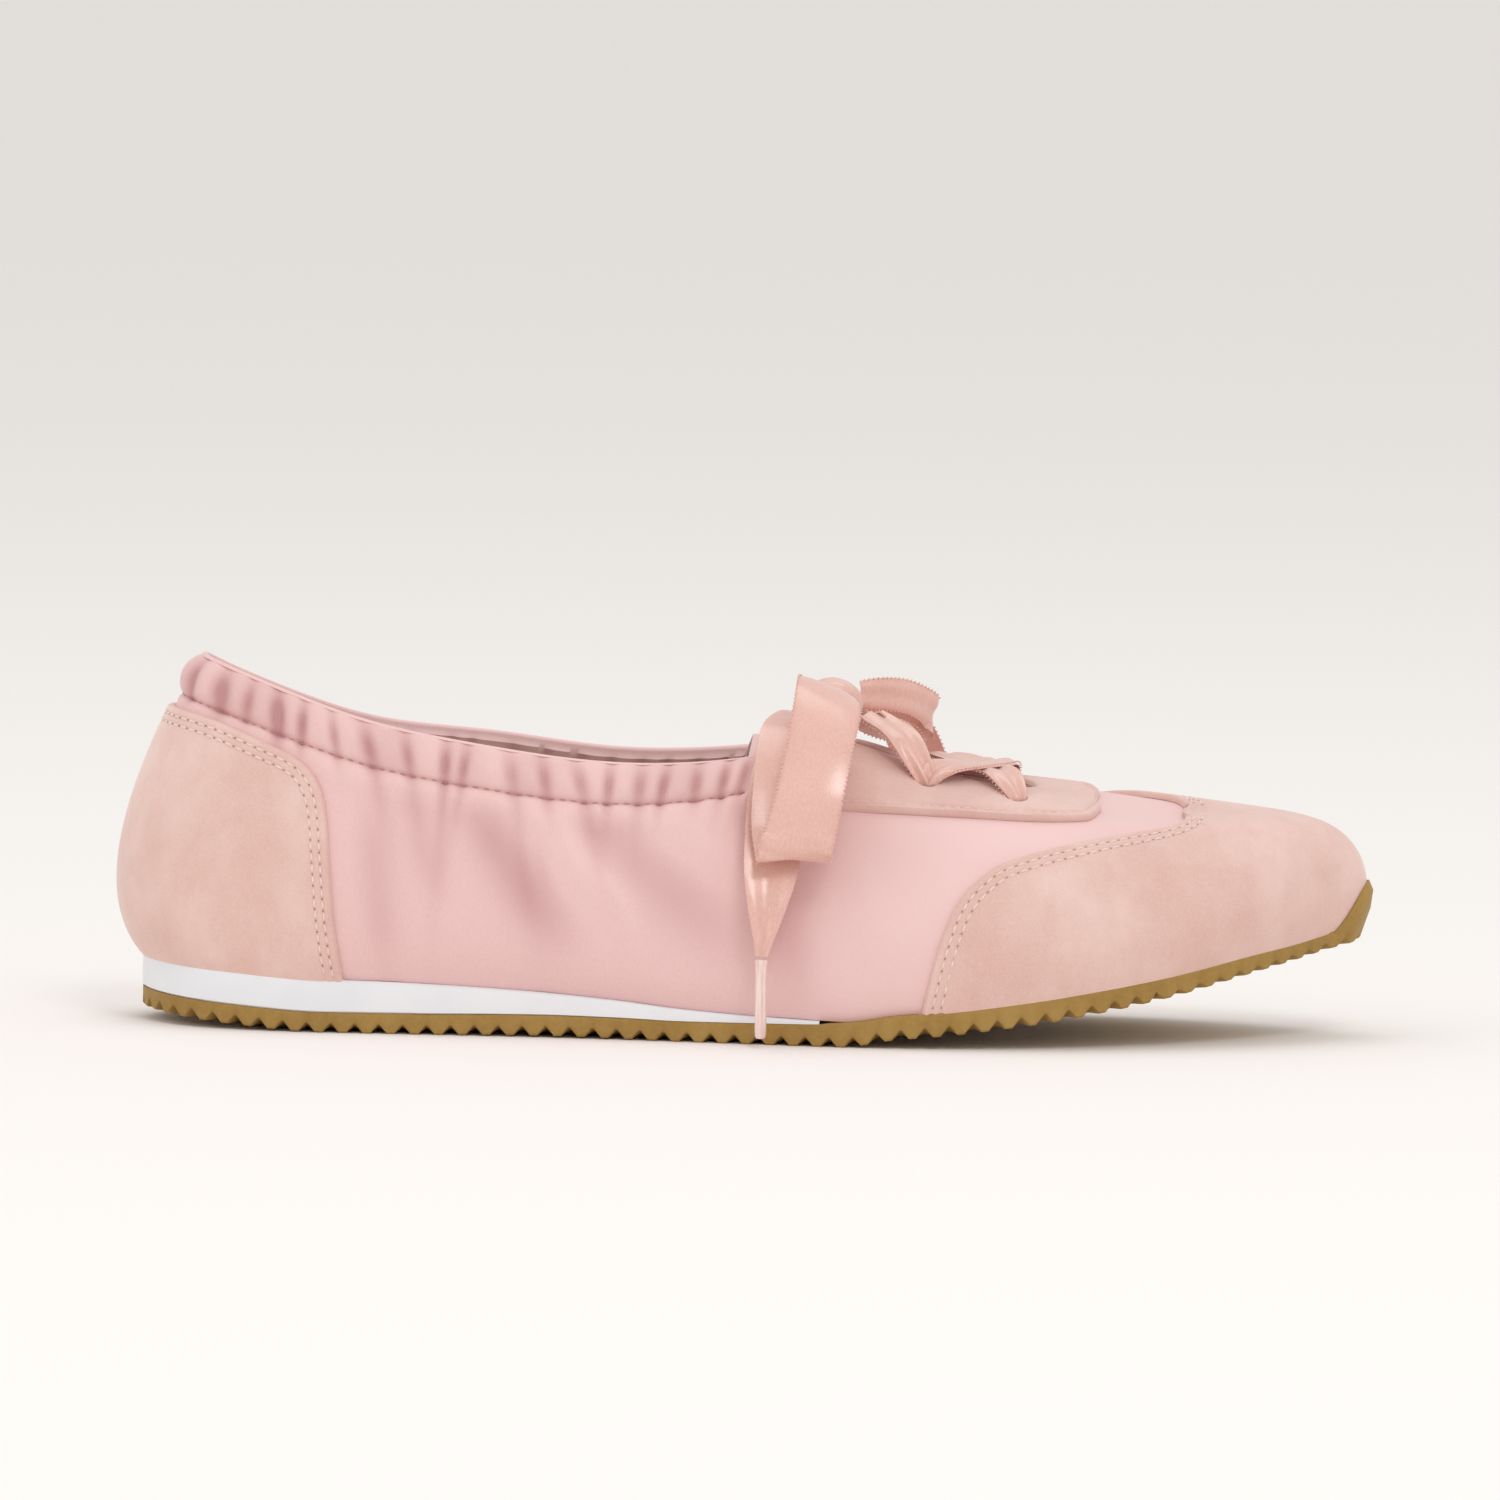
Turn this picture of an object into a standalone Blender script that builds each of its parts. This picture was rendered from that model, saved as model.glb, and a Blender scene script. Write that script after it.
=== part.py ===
"""Satin ballet sneaker with suede overlays and ribbon laces, right shoe.

Metres, +Z up, +X to the toe, -Y to the outer side of the foot. The origin lies
on the floor under the heel's flat spot. The upper is lofted over ribs that rise
from the feather line, where it meets the sole, to the collar rim, the throat
and the crest of the vamp. Everything laid on the upper comes from the same
surface.
"""
import math
from functools import lru_cache

import bpy
import bmesh
import numpy as np
from mathutils import Vector

# Driving dimensions, in metres
LENGTH = 0.262  # heel bulge to the tip of the toe bumper
HALF_BALL = 0.042  # middle of the shoe to the feather line at the ball
HEEL_HEIGHT = 0.076  # floor to the collar rim over the heel
INSTEP_HEIGHT = 0.060  # floor to the top eyelets
TOE_HEIGHT = 0.048  # floor to the crest of the vamp before the toe cap
TOE_SPRING = 0.0224  # floor to the tread under the toe tip
OUTSOLE_THICKNESS = 0.0042
MIDSOLE_THICKNESS = 0.0068  # at the heel, tapering to nothing before the ball
MIDSOLE_END = 0.146  # heel bulge to the front edge of the midsole
INSOLE_THICKNESS = 0.003
UPPER_WALL = 0.0016
CASING_WALL = 0.0028  # elastic collar casing, lining and foam
CASING_DEPTH = 0.009
CASING_STEP = 0.0006  # the casing stands out of the quarter by this
CASING_FRONT = 0.131  # heel bulge to the casing's front end
OVERLAY = 0.0012  # suede
OVERLAY_GAP = 0.0003
OVERLAY_FOOT = 0.0011  # overlays end this far above the upper's own foot
GAP = 0.0003  # between pieces that lie against each other
TOOTH_PITCH = 0.005
TOOTH_DEPTH = 0.0017
TOOTH_LAND = 0.3  # share of a tooth that is flat
TOOTH_REACH = 0.008  # from the sole's edge inward
BUMPER_RISE = 0.0085  # gum above the feather line at the toe tip
BUMPER_REACH = 0.0105  # each way from the toe tip, along the edge
BUMPER_WALL = 0.0014
BUMPER_SWELL = 1.3  # how soon the bumper reaches its full thickness
BUMPER_START = 0.15  # share of the reach that stays flush with the feather line
TOE_TEETH = 0.82  # share of LENGTH past which the teeth are shallower
TOE_TOOTH_SHARE = 0.6  # of TOOTH_DEPTH
THROAT_END = 0.190  # heel bulge to the front of the throat
THROAT_ROUND = 0.008  # length of the throat's rounded front
EYELET = 0.0046  # diameter
EYELET_EDGE = 0.0068  # throat edge to the middle of an eyelet
EYELET_PLACES = (0.148, 0.167, 0.185)  # heel bulge to each pair
EYESTAY_REAR = 0.134
EYESTAY_FRONT = 0.2035
TONGUE_THICKNESS = 0.002
TONGUE_OVERLAP = 0.012  # under the upper, each side of the throat
TONGUE_FRONT = 0.198
TONGUE_REAR = 0.130
RIBBON_THICKNESS = 0.0009
AGLET = 0.0028  # diameter
HEEL_REST = 0.052  # heel bulge to the middle of the heel's flat spot

# One row a section, from the heel back to the toe tip. Lengths along the shoe
# are shares of LENGTH, widths are shares of HALF_BALL. The top's height is in
# metres, from the named heights. The half gap is that of collar and throat, and
# runs on along the vamp, where a bridge closes it. Tilt is the rise of the
# throat and the vamp towards the inner side, for each unit of width.
SECTIONS = (
    # outer foot x, y, inner foot x, y, top x, middle y, half gap, tilt, top height
    (0.0240, 0.000, 0.0240, 0.000, 0.0610, 0.000, 0.000, 0.00, 1.000 * HEEL_HEIGHT),
    (0.0374, 0.286, 0.0374, 0.271, 0.0706, 0.000, 0.171, -0.04, 0.984 * HEEL_HEIGHT),
    (0.0725, 0.507, 0.0725, 0.481, 0.1030, 0.000, 0.300, -0.06, 0.937 * HEEL_HEIGHT),
    (0.1298, 0.624, 0.1300, 0.586, 0.1470, 0.000, 0.400, -0.06, 0.879 * HEEL_HEIGHT),
    (0.1985, 0.657, 0.1985, 0.600, 0.2100, 0.000, 0.476, -0.04, 0.817 * HEEL_HEIGHT),
    (0.2900, 0.681, 0.2900, 0.538, 0.2980, 0.000, 0.531, 0.00, 0.982 * INSTEP_HEIGHT),
    (0.3890, 0.743, 0.3890, 0.495, 0.3930, 0.000, 0.514, 0.00, 0.937 * INSTEP_HEIGHT),
    (0.4885, 0.848, 0.4810, 0.590, 0.4905, 0.000, 0.410, 0.00, 0.957 * INSTEP_HEIGHT),
    (0.5650, 0.936, 0.5570, 0.748, 0.5687, -0.012, 0.205, 0.00, 0.993 * INSTEP_HEIGHT),
    (0.6336, 0.983, 0.6260, 0.871, 0.6336, -0.043, 0.171, 0.04, 0.913 * INSTEP_HEIGHT),
    (0.7023, 0.957, 0.6950, 0.919, 0.7023, -0.081, 0.148, 0.09, 0.858 * INSTEP_HEIGHT),
    (0.7630, 0.876, 0.7560, 0.890, 0.7595, -0.110, 0.143, 0.16, 0.820 * INSTEP_HEIGHT),
    (0.8240, 0.724, 0.8170, 0.814, 0.8090, -0.124, 0.133, 0.20, 0.979 * TOE_HEIGHT),
    (0.8820, 0.514, 0.8740, 0.676, 0.8590, -0.100, 0.119, 0.18, 0.958 * TOE_HEIGHT),
    (0.9310, 0.252, 0.9240, 0.490, 0.9010, -0.029, 0.095, 0.10, 0.950 * TOE_HEIGHT),
    (0.9620, 0.052, 0.9600, 0.300, 0.9290, 0.038, 0.055, 0.03, 0.938 * TOE_HEIGHT),
    (0.9756, -0.119, 0.9756, 0.119, 0.9430, 0.083, 0.000, 0.00, 0.921 * TOE_HEIGHT),
)

# How each rib leaves the foot and reaches the top. Out is a share of
# HALF_BALL, up and drop are shares of the rib's height.
RIBS = (
    # outer side: foot out, foot up, head out, head drop; inner side: the same
    (0.317, 0.216, 0.262, 0.352, 0.317, 0.216, 0.262, 0.352),
    (0.286, 0.226, 0.250, 0.355, 0.286, 0.226, 0.250, 0.355),
    (0.214, 0.250, 0.202, 0.368, 0.214, 0.250, 0.202, 0.368),
    (0.167, 0.265, 0.155, 0.372, 0.167, 0.265, 0.155, 0.372),
    (0.167, 0.269, 0.167, 0.365, 0.167, 0.269, 0.167, 0.365),
    (0.202, 0.262, 0.190, 0.323, 0.190, 0.282, 0.167, 0.323),
    (0.214, 0.245, 0.214, 0.286, 0.214, 0.286, 0.190, 0.286),
    (0.190, 0.250, 0.262, 0.192, 0.214, 0.288, 0.214, 0.212),
    (0.167, 0.278, 0.381, 0.111, 0.190, 0.315, 0.357, 0.130),
    (0.143, 0.377, 0.452, 0.090, 0.167, 0.397, 0.429, 0.060),
    (0.143, 0.452, 0.476, 0.080, 0.143, 0.500, 0.476, -0.030),
    (0.143, 0.460, 0.476, 0.086, 0.119, 0.540, 0.476, -0.086),
    (0.143, 0.430, 0.405, 0.105, 0.119, 0.600, 0.476, -0.123),
    (0.143, 0.390, 0.357, 0.096, 0.119, 0.500, 0.405, -0.109),
    (0.119, 0.320, 0.310, 0.060, 0.119, 0.380, 0.333, -0.045),
    (0.119, 0.270, 0.286, 0.120, 0.119, 0.270, 0.286, 0.038),
    (0.119, 0.250, 0.286, 0.120, 0.119, 0.250, 0.286, 0.120),
)

# The sole from heel to toe: place as a share of LENGTH, tread lift as a share
# of TOE_SPRING, midsole and outsole as shares of their thickness.
SOLE = (
    (0.000, 0.150, 0.93, 0.95),
    (0.050, 0.095, 0.99, 0.93),
    (0.095, 0.050, 1.00, 0.95),
    (0.168, 0.000, 0.97, 0.98),
    (0.237, 0.000, 0.90, 1.00),
    (0.300, 0.012, 0.76, 1.00),
    (0.345, 0.018, 0.64, 1.00),
    (0.400, 0.012, 0.49, 1.00),
    (0.445, 0.000, 0.35, 1.00),
    (0.492, 0.000, 0.21, 1.03),
    (0.545, 0.000, 0.09, 1.08),
    (0.573, 0.000, 0.03, 1.12),
    (0.615, 0.080, 0.00, 1.12),
    (0.653, 0.125, 0.00, 1.10),
    (0.700, 0.196, 0.00, 1.10),
    (0.748, 0.281, 0.00, 1.10),
    (0.828, 0.464, 0.00, 1.02),
    (0.891, 0.652, 0.00, 0.92),
    (0.940, 0.790, 0.00, 0.80),
    (0.970, 0.885, 0.00, 0.80),
    (1.000, 1.000, 0.00, 0.80),
)

# Front edge of the heel counter, top to bottom: place as a share of LENGTH,
# height as a share of HEEL_HEIGHT.
COUNTER_EDGE = (
    (0.030, 0.866),
    (0.070, 0.835),
    (0.115, 0.776),
    (0.140, 0.738),
    (0.153, 0.700),
    (0.161, 0.650),
    (0.165, 0.590),
    (0.168, 0.480),
    (0.172, 0.326),
    (0.182, 0.120),
)

# Rear edge of the toe cap, from the feather line to the tip of its U: place as
# a share of LENGTH, height as a share of TOE_HEIGHT.
CAP_EDGE = (
    (0.634, 0.100),
    (0.643, 0.319),
    (0.651, 0.475),
    (0.658, 0.573),
    (0.667, 0.652),
    (0.679, 0.715),
    (0.694, 0.771),
    (0.715, 0.810),
    (0.745, 0.850),
    (0.789, 0.890),
    (0.817, 0.905),
    (0.838, 0.925),
    (0.847, 0.953),
)

# Lower edge of the eyestay from the rear, on the upper's own face: place as a
# share of LENGTH, height as a share of INSTEP_HEIGHT.
EYESTAY_EDGE = (
    (0.500, 0.790),
    (0.575, 0.788),
    (0.660, 0.775),
    (0.740, 0.762),
    (0.765, 0.764),
    (0.778, 0.790),
)

# Crossings of the ribbon over the throat. Places are chosen by hand.
# Columns: x, y, z, then the way that the ribbon's width runs, and its width.
CROSSINGS = (
    (
        (0.1850, -0.0150, 0.0526, 0.5, 0.3, 0.1, 0.0060),
        (0.1830, -0.0115, 0.0546, 0.6, 0.4, 0.0, 0.0085),
        (0.1795, -0.0065, 0.0556, 0.7, 0.6, 0.0, 0.0110),
        (0.1760, -0.0010, 0.0563, 0.7, 0.6, 0.0, 0.0110),
        (0.1722, 0.0045, 0.0570, 0.7, 0.6, 0.0, 0.0100),
        (0.1688, 0.0088, 0.0570, 0.6, 0.4, -0.1, 0.0080),
        (0.1668, 0.0110, 0.0564, 0.5, 0.3, -0.1, 0.0060),
    ),
    (
        (0.1846, 0.0085, 0.0550, 0.5, -0.3, 0.0, 0.0060),
        (0.1832, 0.0060, 0.0560, 0.6, -0.4, 0.0, 0.0085),
        (0.1800, 0.0010, 0.0563, 0.7, -0.6, 0.0, 0.0110),
        (0.1765, -0.0045, 0.0563, 0.7, -0.6, 0.0, 0.0110),
        (0.1727, -0.0100, 0.0566, 0.7, -0.6, -0.1, 0.0100),
        (0.1692, -0.0140, 0.0562, 0.6, -0.4, -0.2, 0.0080),
        (0.1674, -0.0158, 0.0555, 0.5, -0.3, -0.2, 0.0060),
    ),
    (
        (0.1656, -0.0152, 0.0571, 0.6, 0.2, 0.1, 0.0060),
        (0.1625, -0.0118, 0.0614, 0.6, 0.4, 0.0, 0.0080),
        (0.1575, -0.0070, 0.0648, 0.6, 0.5, 0.0, 0.0090),
        (0.1550, -0.0046, 0.0663, 0.6, 0.5, 0.0, 0.0080),
    ),
    (
        (0.1656, 0.0114, 0.0586, 0.6, -0.2, 0.1, 0.0060),
        (0.1625, 0.0076, 0.0622, 0.6, -0.4, 0.0, 0.0080),
        (0.1575, 0.0020, 0.0650, 0.6, -0.5, 0.0, 0.0090),
        (0.1550, -0.0020, 0.0663, 0.6, -0.5, 0.0, 0.0080),
    ),
)

# Ribbon of the bow, with the same columns as the crossings.
LOOP_NEAR = (
    (0.1450, -0.0110, 0.0690, 1.0, -0.1, 0.1, 0.0080),
    (0.1462, -0.0160, 0.0722, 1.0, -0.1, -0.3, 0.0110),
    (0.1466, -0.0225, 0.0728, 1.0, -0.1, -0.4, 0.0135),
    (0.1464, -0.0300, 0.0698, 1.0, -0.1, -0.3, 0.0140),
    (0.1450, -0.0370, 0.0625, 1.0, -0.1, -0.1, 0.0138),
    (0.1432, -0.0425, 0.0535, 1.0, -0.1, 0.0, 0.0138),
    (0.1414, -0.0452, 0.0455, 1.0, -0.1, 0.0, 0.0145),
    (0.1404, -0.0460, 0.0418, 1.0, -0.1, 0.0, 0.0150),
    (0.1396, -0.0440, 0.0393, 1.0, -0.1, 0.0, 0.0148),
    (0.1388, -0.0418, 0.0410, 1.0, -0.1, 0.0, 0.0140),
    (0.1378, -0.0392, 0.0470, 1.0, -0.1, 0.0, 0.0135),
    (0.1378, -0.0335, 0.0560, 1.0, -0.1, 0.0, 0.0125),
    (0.1385, -0.0250, 0.0640, 1.0, -0.1, 0.0, 0.0115),
    (0.1405, -0.0165, 0.0668, 1.0, -0.1, 0.0, 0.0090),
    (0.1425, -0.0112, 0.0668, 1.0, -0.1, 0.0, 0.0070),
)
LOOP_FAR = (
    (0.1535, 0.0044, 0.0695, 0.3, 0.3, 0.8, 0.0060),
    (0.1580, 0.0064, 0.0696, 0.2, 0.2, 0.9, 0.0068),
    (0.1632, 0.0100, 0.0689, 0.1, 0.3, 0.9, 0.0072),
    (0.1668, 0.0138, 0.0670, 0.2, 0.3, 0.9, 0.0074),
    (0.1686, 0.0170, 0.0650, 0.3, 0.2, 0.9, 0.0078),
    (0.1672, 0.0186, 0.0632, 0.2, 0.2, 0.9, 0.0080),
    (0.1630, 0.0170, 0.0626, 0.1, 0.2, 0.9, 0.0080),
    (0.1580, 0.0134, 0.0632, 0.1, 0.2, 0.9, 0.0072),
    (0.1535, 0.0098, 0.0644, 0.2, 0.2, 0.8, 0.0058),
)
END_NEAR = (
    (0.1400, -0.0085, 0.0625, 1.0, 0.0, 0.1, 0.0070),
    (0.1385, -0.0165, 0.0612, 1.0, 0.0, 0.1, 0.0090),
    (0.1370, -0.0245, 0.0570, 1.0, 0.0, 0.1, 0.0110),
    (0.1362, -0.0320, 0.0500, 1.0, 0.0, 0.1, 0.0120),
    (0.1358, -0.0366, 0.0430, 1.0, 0.0, 0.0, 0.0120),
    (0.1352, -0.0408, 0.0360, 1.0, 0.0, 0.0, 0.0110),
    (0.1345, -0.0440, 0.0290, 1.0, 0.0, 0.0, 0.0080),
    (0.1340, -0.0456, 0.0230, 1.0, 0.0, 0.0, 0.0045),
    (0.1336, -0.0460, 0.0190, 1.0, 0.0, 0.0, 0.0026),
)
END_FAR = (
    (0.1500, 0.0108, 0.0650, 1.0, 0.2, 0.2, 0.0050),
    (0.1545, 0.0172, 0.0645, 0.9, -0.2, 0.3, 0.0070),
    (0.1590, 0.0225, 0.0640, 0.8, -0.3, 0.4, 0.0090),
    (0.1628, 0.0266, 0.0618, 0.8, -0.3, 0.4, 0.0105),
    (0.1655, 0.0308, 0.0568, 0.9, -0.3, 0.2, 0.0115),
    (0.1670, 0.0352, 0.0505, 1.0, -0.2, 0.1, 0.0120),
    (0.1678, 0.0396, 0.0425, 1.0, -0.2, 0.0, 0.0120),
    (0.1680, 0.0438, 0.0340, 1.0, -0.1, 0.0, 0.0100),
    (0.1678, 0.0462, 0.0265, 1.0, -0.1, 0.0, 0.0065),
    (0.1675, 0.0468, 0.0205, 1.0, -0.1, 0.0, 0.0035),
    (0.1674, 0.0468, 0.0190, 1.0, -0.1, 0.0, 0.0026),
)
AGLET_LENGTH = 0.0165
KNOT = (0.1475, -0.0028, 0.0690)
KNOT_SIZE = (0.0125, 0.0125, 0.0085)

LAST = len(SECTIONS) - 1
TURNS = 2 * LAST
STEP = 0.01  # for slopes, as a share of a section and of a rib

# Colour, roughness, metallic
LOOKS = {
    "gum": ((0.36, 0.20, 0.06), 0.6, 0.0),
    "foam": ((0.80, 0.82, 0.86), 0.55, 0.0),
    "lining": ((0.62, 0.55, 0.46), 0.9, 0.0),
    "satin": ((0.62, 0.36, 0.33), 0.35, 0.0),
    "suede": ((0.66, 0.42, 0.38), 0.95, 0.0),
    "ribbon": ((0.80, 0.47, 0.38), 0.35, 0.0),
    "clear_tip": ((0.80, 0.62, 0.58), 0.2, 0.0),
}


def loop_spline(values):
    """A smooth closed curve through values that are one step apart."""
    values = np.array(values, float)
    count = len(values)
    bends = np.zeros((count, count))
    for i in range(count):
        bends[i, i] = 4
        bends[i, i - 1] = 1
        bends[i, (i + 1) % count] = 1
    right = 6 * (np.roll(values, 1) - 2 * values + np.roll(values, -1))
    second = np.linalg.solve(bends, right).tolist()
    values = values.tolist()

    def at(turn):
        turn = turn % count
        i = int(turn) % count
        j = (i + 1) % count
        f = turn - int(turn)
        g = 1 - f
        curve = (second[i] * g**3 + second[j] * f**3) / 6
        return curve + (values[i] - second[i] / 6) * g + (values[j] - second[j] / 6) * f

    return at


def even(column):
    """A column that both sides of the shoe share."""
    column = list(column)
    return loop_spline(column + column[-2:0:-1])


def two_sided(outer, inner):
    """Columns of the outer and the inner side, joined round heel and toe."""
    return loop_spline(list(outer) + list(inner)[-2:0:-1])


def column(table, index):
    return [row[index] for row in table]


def eased(table, index):
    """A curve through one column against the first, flat where it is flat."""
    xs = np.array(column(table, 0), float)
    ys = np.array(column(table, index), float)
    runs = np.diff(xs)
    slopes = np.diff(ys) / runs
    turns = np.zeros(len(xs))
    for i in range(1, len(xs) - 1):
        if slopes[i - 1] * slopes[i] > 0:
            a = 2 * runs[i] + runs[i - 1]
            b = runs[i] + 2 * runs[i - 1]
            turns[i] = (a + b) / (a / slopes[i - 1] + b / slopes[i])
    turns[0] = slopes[0]
    turns[-1] = slopes[-1]

    def at(x):
        x = min(max(x, xs[0]), xs[-1])
        i = min(int(np.searchsorted(xs, x, side="right")) - 1, len(runs) - 1)
        t = (x - xs[i]) / runs[i]
        h = runs[i]
        rise = (2 * t**3 - 3 * t**2 + 1) * ys[i] + (t**3 - 2 * t**2 + t) * h * turns[i]
        return rise + (3 * t**2 - 2 * t**3) * ys[i + 1] + (t**3 - t**2) * h * turns[i + 1]

    return at


LIFT = eased(SOLE, 1)
FOAM = eased(SOLE, 2)
GUM = eased(SOLE, 3)


def tread(x):
    """Height of the tread's lands."""
    return TOE_SPRING * LIFT(x / LENGTH)


def feather(x):
    """Height of the line where the upper meets the sole."""
    share = x / LENGTH
    return tread(x) + OUTSOLE_THICKNESS * GUM(share) + MIDSOLE_THICKNESS * FOAM(share)


def floor_of_gum(x):
    """Top of the outsole inside its edge: under the midsole, then under the upper."""
    under_foam = feather(x) - MIDSOLE_THICKNESS * FOAM(x / LENGTH) - GAP
    past = min(max((x - MIDSOLE_END) / TOOTH_PITCH, 0), 1)
    return under_foam + (feather(x) - under_foam) * past


FOOT_X = two_sided(column(SECTIONS, 0), column(SECTIONS, 2))
FOOT_Y = two_sided([-y for y in column(SECTIONS, 1)], column(SECTIONS, 3))
TOP_X = even(column(SECTIONS, 4))
MIDDLE_Y = even(column(SECTIONS, 5))
GAP_Y = two_sided([-y for y in column(SECTIONS, 6)], column(SECTIONS, 6))
TILT = even(column(SECTIONS, 7))
TOP_Z = even(column(SECTIONS, 8))
FOOT_OUT = two_sided(column(RIBS, 0), column(RIBS, 4))
FOOT_UP = two_sided(column(RIBS, 1), column(RIBS, 5))
HEAD_OUT = two_sided(column(RIBS, 2), column(RIBS, 6))
HEAD_DROP = two_sided(column(RIBS, 3), column(RIBS, 7))


def bridged(turn):
    """How far the bridge reaches from the throat's edge to the middle, 0 to 1."""
    past = (LENGTH * TOP_X(turn) - THROAT_END + THROAT_ROUND) / THROAT_ROUND
    return 1 - math.sqrt(1 - min(max(past, 0), 1) ** 2)


def foot_of(turn):
    x = LENGTH * FOOT_X(turn)
    return Vector((x, HALF_BALL * FOOT_Y(turn), feather(x) + GAP))


def top_of(turn):
    away = HALF_BALL * GAP_Y(turn)
    y = HALF_BALL * MIDDLE_Y(turn) + away
    return Vector((LENGTH * TOP_X(turn), y, TOP_Z(turn) + TILT(turn) * away))


def level_out(turn):
    """Outward from the feather line, on the level."""
    run = foot_of(turn + STEP) - foot_of(turn - STEP)
    return Vector((run.y, -run.x, 0)).normalized()


def bezier(ends, v):
    first, low, high, last = ends
    w = 1 - v
    return first * w**3 + low * 3 * v * w**2 + high * 3 * v**2 * w + last * v**3


@lru_cache(maxsize=None)
def rib(turn):
    """Foot, two handles and top of one rib."""
    foot = foot_of(turn)
    top = top_of(turn)
    out = level_out(turn)
    height = top.z - foot.z
    low = foot + out * HALF_BALL * FOOT_OUT(turn)
    low.z += height * FOOT_UP(turn)
    high = top + out * HALF_BALL * HEAD_OUT(turn)
    high.z -= height * HEAD_DROP(turn)
    return foot, low, high, top


@lru_cache(maxsize=None)
def bridge(s):
    """From the outer top over the middle to the inner top, at one station."""
    outer, outer_high = rib(s)[3], rib(s)[2]
    inner, inner_high = rib(TURNS - s)[3], rib(TURNS - s)[2]
    reach = (inner - outer).length / 3
    low = outer + (outer - outer_high).normalized() * reach
    high = inner + (inner - inner_high).normalized() * reach
    return outer, low, high, inner


def rib_point(turn, v):
    """A point of the upper's outer face.

    v is 0 at the feather line and 1 at the rim or the throat's edge. From 1 to
    2 it runs on over the bridge, to the middle of the vamp.
    """
    if v <= 1:
        return bezier(rib(turn), v)
    if turn <= LAST:
        return bezier(bridge(turn), (v - 1) / 2)
    return bezier(bridge(TURNS - turn), (3 - v) / 2)


def slope_normal(turn, v):
    side = (0, 1) if v <= 1 else (1, 2)
    low, high = max(v - STEP, side[0]), min(v + STEP, side[1])
    along = rib_point(turn + STEP, v) - rib_point(turn - STEP, v)
    up = rib_point(turn, high) - rib_point(turn, low)
    return along.cross(up).normalized()


def normal(turn, v):
    """Outward normal. Both sides agree on it along the middle of the vamp."""
    turn = min(max(turn, STEP), TURNS - STEP) if v > 1 else turn
    here = slope_normal(turn, v)
    if v == 2:
        here = (here + slope_normal(TURNS - turn, v)).normalized()
    return here


def skin(turn, v, off=0.0):
    """A point that lies off the upper's outer face."""
    return rib_point(turn, v) + normal(turn, v) * off


def solve(low, high, wanted, value):
    """Where a rising function reaches the wanted value."""
    for _ in range(40):
        middle = (low + high) / 2
        if value(middle) < wanted:
            low = middle
        else:
            high = middle
    return (low + high) / 2


def station_at_top(x):
    return solve(0, LAST, x, lambda s: LENGTH * TOP_X(s))


def station_at_foot(x):
    return solve(0, LAST, x, lambda s: LENGTH * FOOT_X(s))


def rib_length(turn, v_from, v_to, pieces=8):
    places = [rib_point(turn, v_from + (v_to - v_from) * i / pieces) for i in range(pieces + 1)]
    return sum((b - a).length for a, b in zip(places, places[1:]))


@lru_cache(maxsize=None)
def share_below_top(turn, depth):
    """The v that lies a given way down the rib from its top."""
    return solve(0, 1, -depth, lambda v: -rib_length(turn, v, 1))


def share_at_height(turn, z):
    return solve(0, 1, z, lambda v: rib_point(turn, v).z)


def place(point):
    """From the heel bulge to the shoe's origin under the heel's flat spot."""
    return (point[0] - HEEL_REST, point[1], point[2])


def clear_scene():
    for old in list(bpy.data.objects):
        bpy.data.objects.remove(old)


def collection(name):
    made = bpy.data.collections.new(name)
    bpy.context.scene.collection.children.link(made)
    return made


def material(name):
    colour, roughness, metallic = LOOKS[name]
    made = bpy.data.materials.get(name)
    if made is None:
        made = bpy.data.materials.new(name)
        made.use_nodes = True
        shader = made.node_tree.nodes["Principled BSDF"]
        shader.inputs["Base Color"].default_value = (*colour, 1)
        shader.inputs["Roughness"].default_value = roughness
        shader.inputs["Metallic"].default_value = metallic
    return made


def add(name, points, faces, look, home, closed=True):
    """A named object from a loft's points and faces, welded and facing out."""
    mesh = bpy.data.meshes.new(name)
    work = bmesh.new()
    corners = [work.verts.new(place(p)) for p in points]
    for face in faces:
        work.faces.new([corners[i] for i in face])
    bmesh.ops.remove_doubles(work, verts=work.verts, dist=2e-6)
    bmesh.ops.dissolve_degenerate(work, edges=work.edges, dist=1e-6)
    if closed:
        bmesh.ops.recalc_face_normals(work, faces=work.faces)
    work.to_mesh(mesh)
    work.free()
    made = bpy.data.objects.new(name, mesh)
    home.objects.link(made)
    made.data.materials.append(material(look))
    made.data.shade_smooth()
    made.data.set_sharp_from_angle(angle=math.radians(40))
    return made


def loft(name, rings, look, home, capped=True):
    """A closed solid through rings of equal count."""
    count = len(rings[0])
    points = [p for ring in rings for p in ring]
    faces = []
    for i in range(len(rings) - 1):
        for j in range(count):
            k = (j + 1) % count
            faces.append((i * count + j, i * count + k, (i + 1) * count + k, (i + 1) * count + j))
    if capped:
        faces.append(tuple(range(count)))
        faces.append(tuple((len(rings) - 1) * count + j for j in range(count)))
    return add(name, points, faces, look, home)


def bake(made):
    """Applies an object's modifiers to its mesh."""
    graph = bpy.context.evaluated_depsgraph_get()
    mesh = bpy.data.meshes.new_from_object(made.evaluated_get(graph))
    made.modifiers.clear()
    made.data = mesh


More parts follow.
